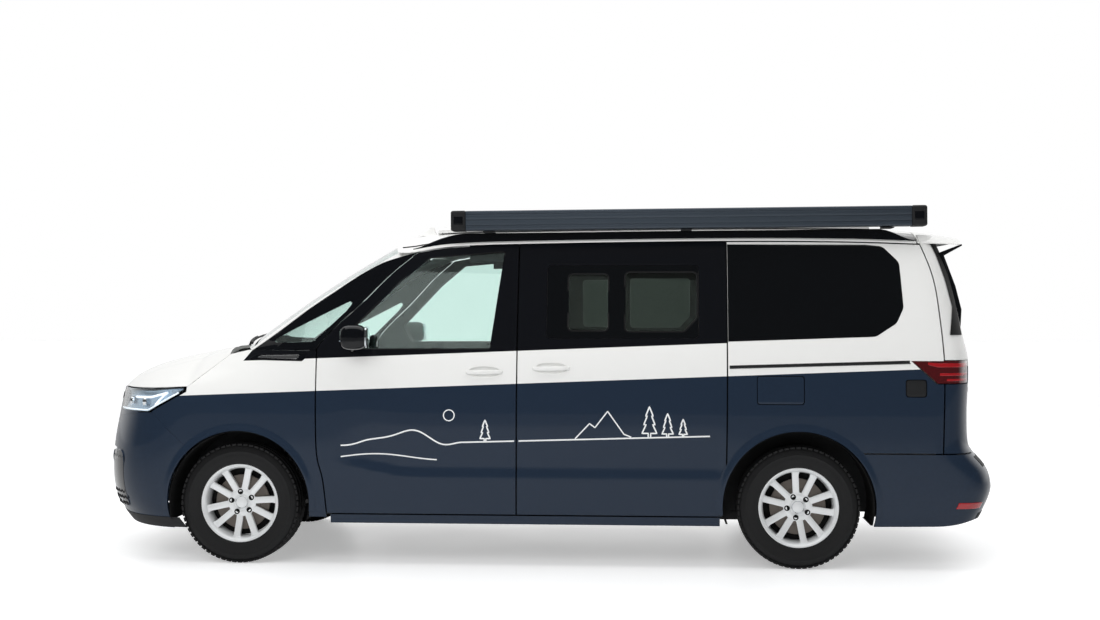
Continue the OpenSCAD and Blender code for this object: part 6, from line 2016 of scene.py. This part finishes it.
        slat = make("slat", [(x, y, z) for x in (0, 7) for y in (-48, 48) for z in (-2.5, 2.5)], BOX_FACES)
        outward(slat)
        self.fit(self.scatter.set_out("dashboard_vents", vents, slat, self.paint.get(Stock.CHROME)), SHELL,
            "alloy")
        self.put(self.lean(tube("column_shroud", [(STEERING_AT[0], -SEAT_Y, STEERING_AT[2] - 210),
            (STEERING_AT[0], -SEAT_Y, STEERING_AT[2] - 70)], (46, 40), 24), STEERING_TILT, STEERING_AT),
            Stock.DASH)

    def steering_wheel(self) -> None:
        """Builds the steering wheel about its column."""
        x, y, z = STEERING_AT

        def turned(obj: Piece) -> Piece:
            """Tilts a piece onto the column."""
            return self.lean(obj, STEERING_TILT, STEERING_AT)

        r = STEERING_R - 16
        ring = [(x + r * math.cos(math.tau * k / 96), y + r * math.sin(math.tau * k / 96), z)
            for k in range(97)]
        self.put(turned(tube("steering_rim", ring, 15.5, 16)), Stock.DASH, "steering", node="steering_wheel")
        for k, a in enumerate((90, 180, 270)):
            c, s = math.cos(math.radians(a)), math.sin(math.radians(a))
            path = [(x + q * c, y + q * s, z - 6 - 10 * (1 - q / r)) for q in (40, 90, 130, r)]
            self.put(turned(tube(f"steering_spoke_{k}", path, (20, 17, 14, 13), 14)), Stock.PIANO, "steering")
        hub = loft("steering_hub", [egg((x, y, z + d), (q, q * 0.8, 0), 3, 2, 40)
            for d, q in ((-50, 40), (-40, 56), (-14, 72), (0, 70), (8, 58), (10, 40))])
        self.put(turned(hub), Stock.DASH, "steering")

    def kitchen(self) -> None:
        """Builds the kitchen unit with its doors, worktop, sink and hob."""
        x0, x1 = B_POST + 420, B_POST + 1092
        y0, y1, z0 = -HALF_W + 126, -HALF_W + 476, FLOOR_Z + 0.3
        self.put(block("kitchen_body", (x0, y0, z0), (x1, y1 - 18, z0 + 752), 4), Stock.BOARD,
            node="kitchen_unit")
        top = block("kitchen_worktop", (x0, y0, z0 + 754), (x1, y1, z0 + 780), 5)
        for a, b in ((60, 290), (380, 620)):
            cut(top, block("cutter", (x0 + a, y0 + 70, z0 + 760), (x0 + b, y1 - 60, z0 + 800), 20))
        self.put(top, Stock.STONE, soft=30)
        for k in range(3):
            a = x0 + 8 + k * 222
            for j, (lo, hi) in enumerate(((20, 520), (530, 742))):
                self.put(block(f"kitchen_front_{k}_{j}", (a, y1 - 18, z0 + lo), (a + 214, y1 - 2, z0 + hi),
                    5), Stock.BOARD)
                self.put(tube(f"kitchen_grip_{k}_{j}", [(a + 60, y1 - 4, z0 + hi - 30),
                    (a + 66, y1 + 6, z0 + hi - 30), (a + 148, y1 + 6, z0 + hi - 30),
                    (a + 154, y1 - 4, z0 + hi - 30)], 4, 8), Stock.CHROME)
        for k, a in enumerate((450, 550)):
            self.put(lathe_up(f"hob_ring_{k}", [(42, 0), (52, 0), (52, 6), (42, 6)],
                (x0 + a, y0 + 175, z0 + 762)), Stock.BOLT)
        self.put(tube("kitchen_tap", [(x0 + 175, y0 + 50, z0 + 778), (x0 + 175, y0 + 50, z0 + 900),
            (x0 + 175, y0 + 90, z0 + 930), (x0 + 175, y0 + 140, z0 + 905)], 9, 12), Stock.CHROME)

    def liner(self) -> None:
        """Builds the floor covering of the cabin."""
        self.put(block("floor_covering", (FRONT_AXLE + 560, -HALF_W + 330, FLOOR_Z),
            (REAR_AXLE - 480, HALF_W - 330, FLOOR_Z + 6), 2), Stock.TRIM)


def lathe_up(name: str, profile: Flat, centre: Point) -> Piece:
    """Makes a closed ring turned about the vertical through a centre."""
    obj = lathe(name, profile, (0, 0, 0), 48, closed=True)
    obj.data.transform(Matrix.Translation(Vector(centre) * MM) @ Matrix.Rotation(math.radians(90), 4, "X"))
    return obj


class Artwork(Assembly):
    """Plain line drawing of hills, firs and a sun, cut from white vinyl and laid over the doors."""

    BEHIND_DOOR = B_POST + 2.5

    def build(self) -> None:
        """Lays the drawing on both sides."""
        for k, (path, width) in enumerate(self.drawing()):
            for part, body in self.split(path):
                if len(part) > 1:
                    strip = ribbon(f"vinyl_line_{k}_{body}_left", line(part, 20), width, -0.5, 0.4)
                    bodies = ("left_door", "right_door") if body == "door" else (SHELL, SHELL)
                    self.both(strip, Stock.VINYL, bodies)

    def split(self, path: Flat) -> list[tuple[Path, str]]:
        """Divides a path at the shut line between the doors."""
        dense = line(path, 6)
        gap = 9.0
        front = [p for p in dense if p[0] < B_POST - gap]
        rear = [p for p in dense if p[0] > B_POST + gap]
        return [(front, "door"), (rear, "slider")]

    @staticmethod
    def fir(x: float, z: float, h: float) -> list[tuple[Path, float]]:
        """Returns the outline of a fir that stands at a place."""
        w = 0.24 * h
        left = [(x - 0.04 * h, z), (x - 0.04 * h, z + 0.14 * h), (x - w, z + 0.14 * h),
            (x - 0.45 * w, z + 0.42 * h), (x - 0.75 * w, z + 0.42 * h), (x - 0.3 * w, z + 0.7 * h),
            (x - 0.5 * w, z + 0.7 * h), (x, z + h)]
        return [(left + [(2 * x - a, b) for a, b in left[::-1][1:]], 8.0)]

    def drawing(self) -> list[tuple[Path, float]]:
        """Returns every line of the drawing with its width."""
        hills = [(x, 672 + 0.03 * (x + 1050) + 34 * math.sin((x + 1050) / 150) * smooth(-1060, -900,
            x) * (1 - smooth(-520, -380, x)) + 60 * math.exp(-((x + 640) / 110) ** 2))
            for x in range(-1060, 1001, 12)]
        low = [(x, 610 + 16 * math.sin((x + 1050) / 120)) for x in range(-1060, -519, 12)]
        sun = [(-452 + 30 * math.cos(math.tau * k / 32), 842 + 30 * math.sin(math.tau * k / 32))
            for k in range(33)]
        ridge = [(250, 716), (330, 800), (360, 778), (430, 868), (520, 742), (560, 726)]
        return [(hills, 8.0), (low, 7.0), (sun, 6.0), (ridge, 7.0), *self.fir(660, 724, 170),
            *self.fir(760, 727, 130), *self.fir(-250, 697, 120), *self.fir(845, 730, 96)]


class Studio:
    """White studio with soft light and the camera at the photograph's place."""

    CAMERA_AT, CAMERA_TURN, LENS = (0.689, -9.354, 1.427), 3.94, 49.75

    def floor(self) -> None:
        """Lays a white floor that keeps the van's shadow."""
        mesh = bpy.data.meshes.new("studio_floor")
        mesh.from_pydata([(-60, -60, 0), (60, -60, 0), (60, 60, 0), (-60, 60, 0)], [], [(0, 1, 2, 3)])
        floor = bpy.data.objects.new("studio_floor", mesh)
        bpy.context.scene.collection.objects.link(floor)
        mat = bpy.data.materials.new("white_studio_vinyl")
        mat.use_nodes = True
        shader = mat.node_tree.nodes["Principled BSDF"]
        place = add(mat.node_tree, "ShaderNodeTexCoord").outputs["Object"]
        scuffs = add(mat.node_tree, "ShaderNodeTexNoise", values={"Scale": 1.4, "Detail": 4.0},
            links={"Vector": place})
        rough = add(mat.node_tree, "ShaderNodeMapRange", values={"To Min": 0.28, "To Max": 0.42},
            links={"Value": scuffs.outputs["Fac"]})
        mat.node_tree.links.new(rough.outputs["Result"], shader.inputs["Roughness"])
        shader.inputs["Base Color"].default_value = linear("#f6f7f8")
        shader.inputs["Emission Color"].default_value = (1.0, 1.0, 1.0, 1.0)
        ray = add(mat.node_tree, "ShaderNodeLightPath")
        glow = add(mat.node_tree, "ShaderNodeMath", {"operation": "MULTIPLY"}, {1: 0.38},
            {0: ray.outputs["Is Camera Ray"]})
        mat.node_tree.links.new(glow.outputs[0], shader.inputs["Emission Strength"])
        floor.data.materials.append(mat)

    def world(self) -> None:
        """Sets the white surroundings, with the dimmer half of the studio behind the camera in the gloss."""
        world = bpy.data.worlds.new("studio")
        bpy.context.scene.world = world
        world.use_nodes = True
        tree = world.node_tree
        back = tree.nodes["Background"]
        ray = add(tree, "ShaderNodeLightPath")
        way = add(tree, "ShaderNodeSeparateXYZ", links={0: add(tree,
            "ShaderNodeTexCoord").outputs["Generated"]})
        room = add(tree, "ShaderNodeMapRange", values={"From Min": 0.0, "From Max": 0.5, "To Min": 0.08,
            "To Max": 1.0}, links={"Value": way.outputs["Y"]})
        fill = add(tree, "ShaderNodeMapRange", values={"To Min": 0.5},
            links={"Value": ray.outputs["Is Glossy Ray"], "To Max": room.outputs["Result"]})
        seen = add(tree, "ShaderNodeMath", {"operation": "MAXIMUM"},
            links={0: ray.outputs["Is Camera Ray"], 1: ray.outputs["Is Transmission Ray"]})
        power = add(tree, "ShaderNodeMapRange", values={"To Max": 1.0},
            links={"Value": seen.outputs[0], "To Min": fill.outputs["Result"]})
        tree.links.new(power.outputs["Result"], back.inputs["Strength"])
        back.inputs["Color"].default_value = (1.0, 1.0, 1.0, 1.0)

    def lamp(self, name: str, at: Point, to: Point, size: tuple[float, float], power: float,
            mirrored_in_gloss: bool = True) -> None:
        """Hangs a soft box."""
        data = bpy.data.lights.new(name, "AREA")
        data.shape, data.size, data.size_y, data.energy = "RECTANGLE", *size, power
        obj = bpy.data.objects.new(name, data)
        bpy.context.scene.collection.objects.link(obj)
        obj.location, obj.visible_glossy = at, mirrored_in_gloss
        obj.rotation_euler = (Vector(to) - Vector(at)).to_track_quat("-Z", "Y").to_euler()

    def camera(self) -> None:
        """Places the camera, without any blur."""
        data = bpy.data.cameras.new("camera")
        data.lens, data.sensor_width, data.dof.use_dof = self.LENS, 36.0, False
        data.clip_end = 200.0
        obj = bpy.data.objects.new("camera", data)
        bpy.context.scene.collection.objects.link(obj)
        obj.location = self.CAMERA_AT
        obj.rotation_euler = (math.radians(90), 0, math.radians(self.CAMERA_TURN))
        bpy.context.scene.camera = obj

    def build(self) -> None:
        """Builds the studio."""
        self.floor()
        self.world()
        self.lamp("overhead_soft_box", (0, -1.0, 6.0), (0, 0, 0), (9.0, 5.0), 190.0)
        self.lamp("front_soft_box", (-2.0, -7.5, 4.5), (0, 0, 0.9), (7.0, 3.0), 220.0, False)
        self.lamp("far_side_soft_box", (2.0, 7.5, 4.5), (0, 0, 0.9), (7.0, 3.0), 130.0, False)
        self.camera()
        view = bpy.context.scene.view_settings
        view.view_transform, view.exposure, view.gamma = "Standard", 0.0, 1.0


PLAIN_NODES = {"floor_pan": Stock.STEEL, "engine": Stock.IRON, "front_subframe": Stock.STEEL,
    "rear_axle": Stock.STEEL, "side_frames": Stock.BLACK, "knuckle_left": Stock.IRON,
    "knuckle_right": Stock.IRON}


def main() -> None:
    """Builds the dressed van on its frame."""
    logging.basicConfig(level=logging.WARNING, format="%(message)s")
    for obj in list(bpy.data.objects):
        bpy.data.objects.remove(obj)
    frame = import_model()
    paint, scatter = Paintshop(), Scatter("set out")
    for node, stock in PLAIN_NODES.items():
        paint.dress(frame["nodes"][node], stock)
    total = 0
    for kind in (FrontEnd, Wings, Glazing, Doors, RearBody, RoofParts, Wheels, Cabin, Artwork):
        part = kind(paint, scatter)
        part.build()
        total += part.count
    LOG.info("%d pieces", total)
    Studio().build()


if __name__ == "__main__":
    main()
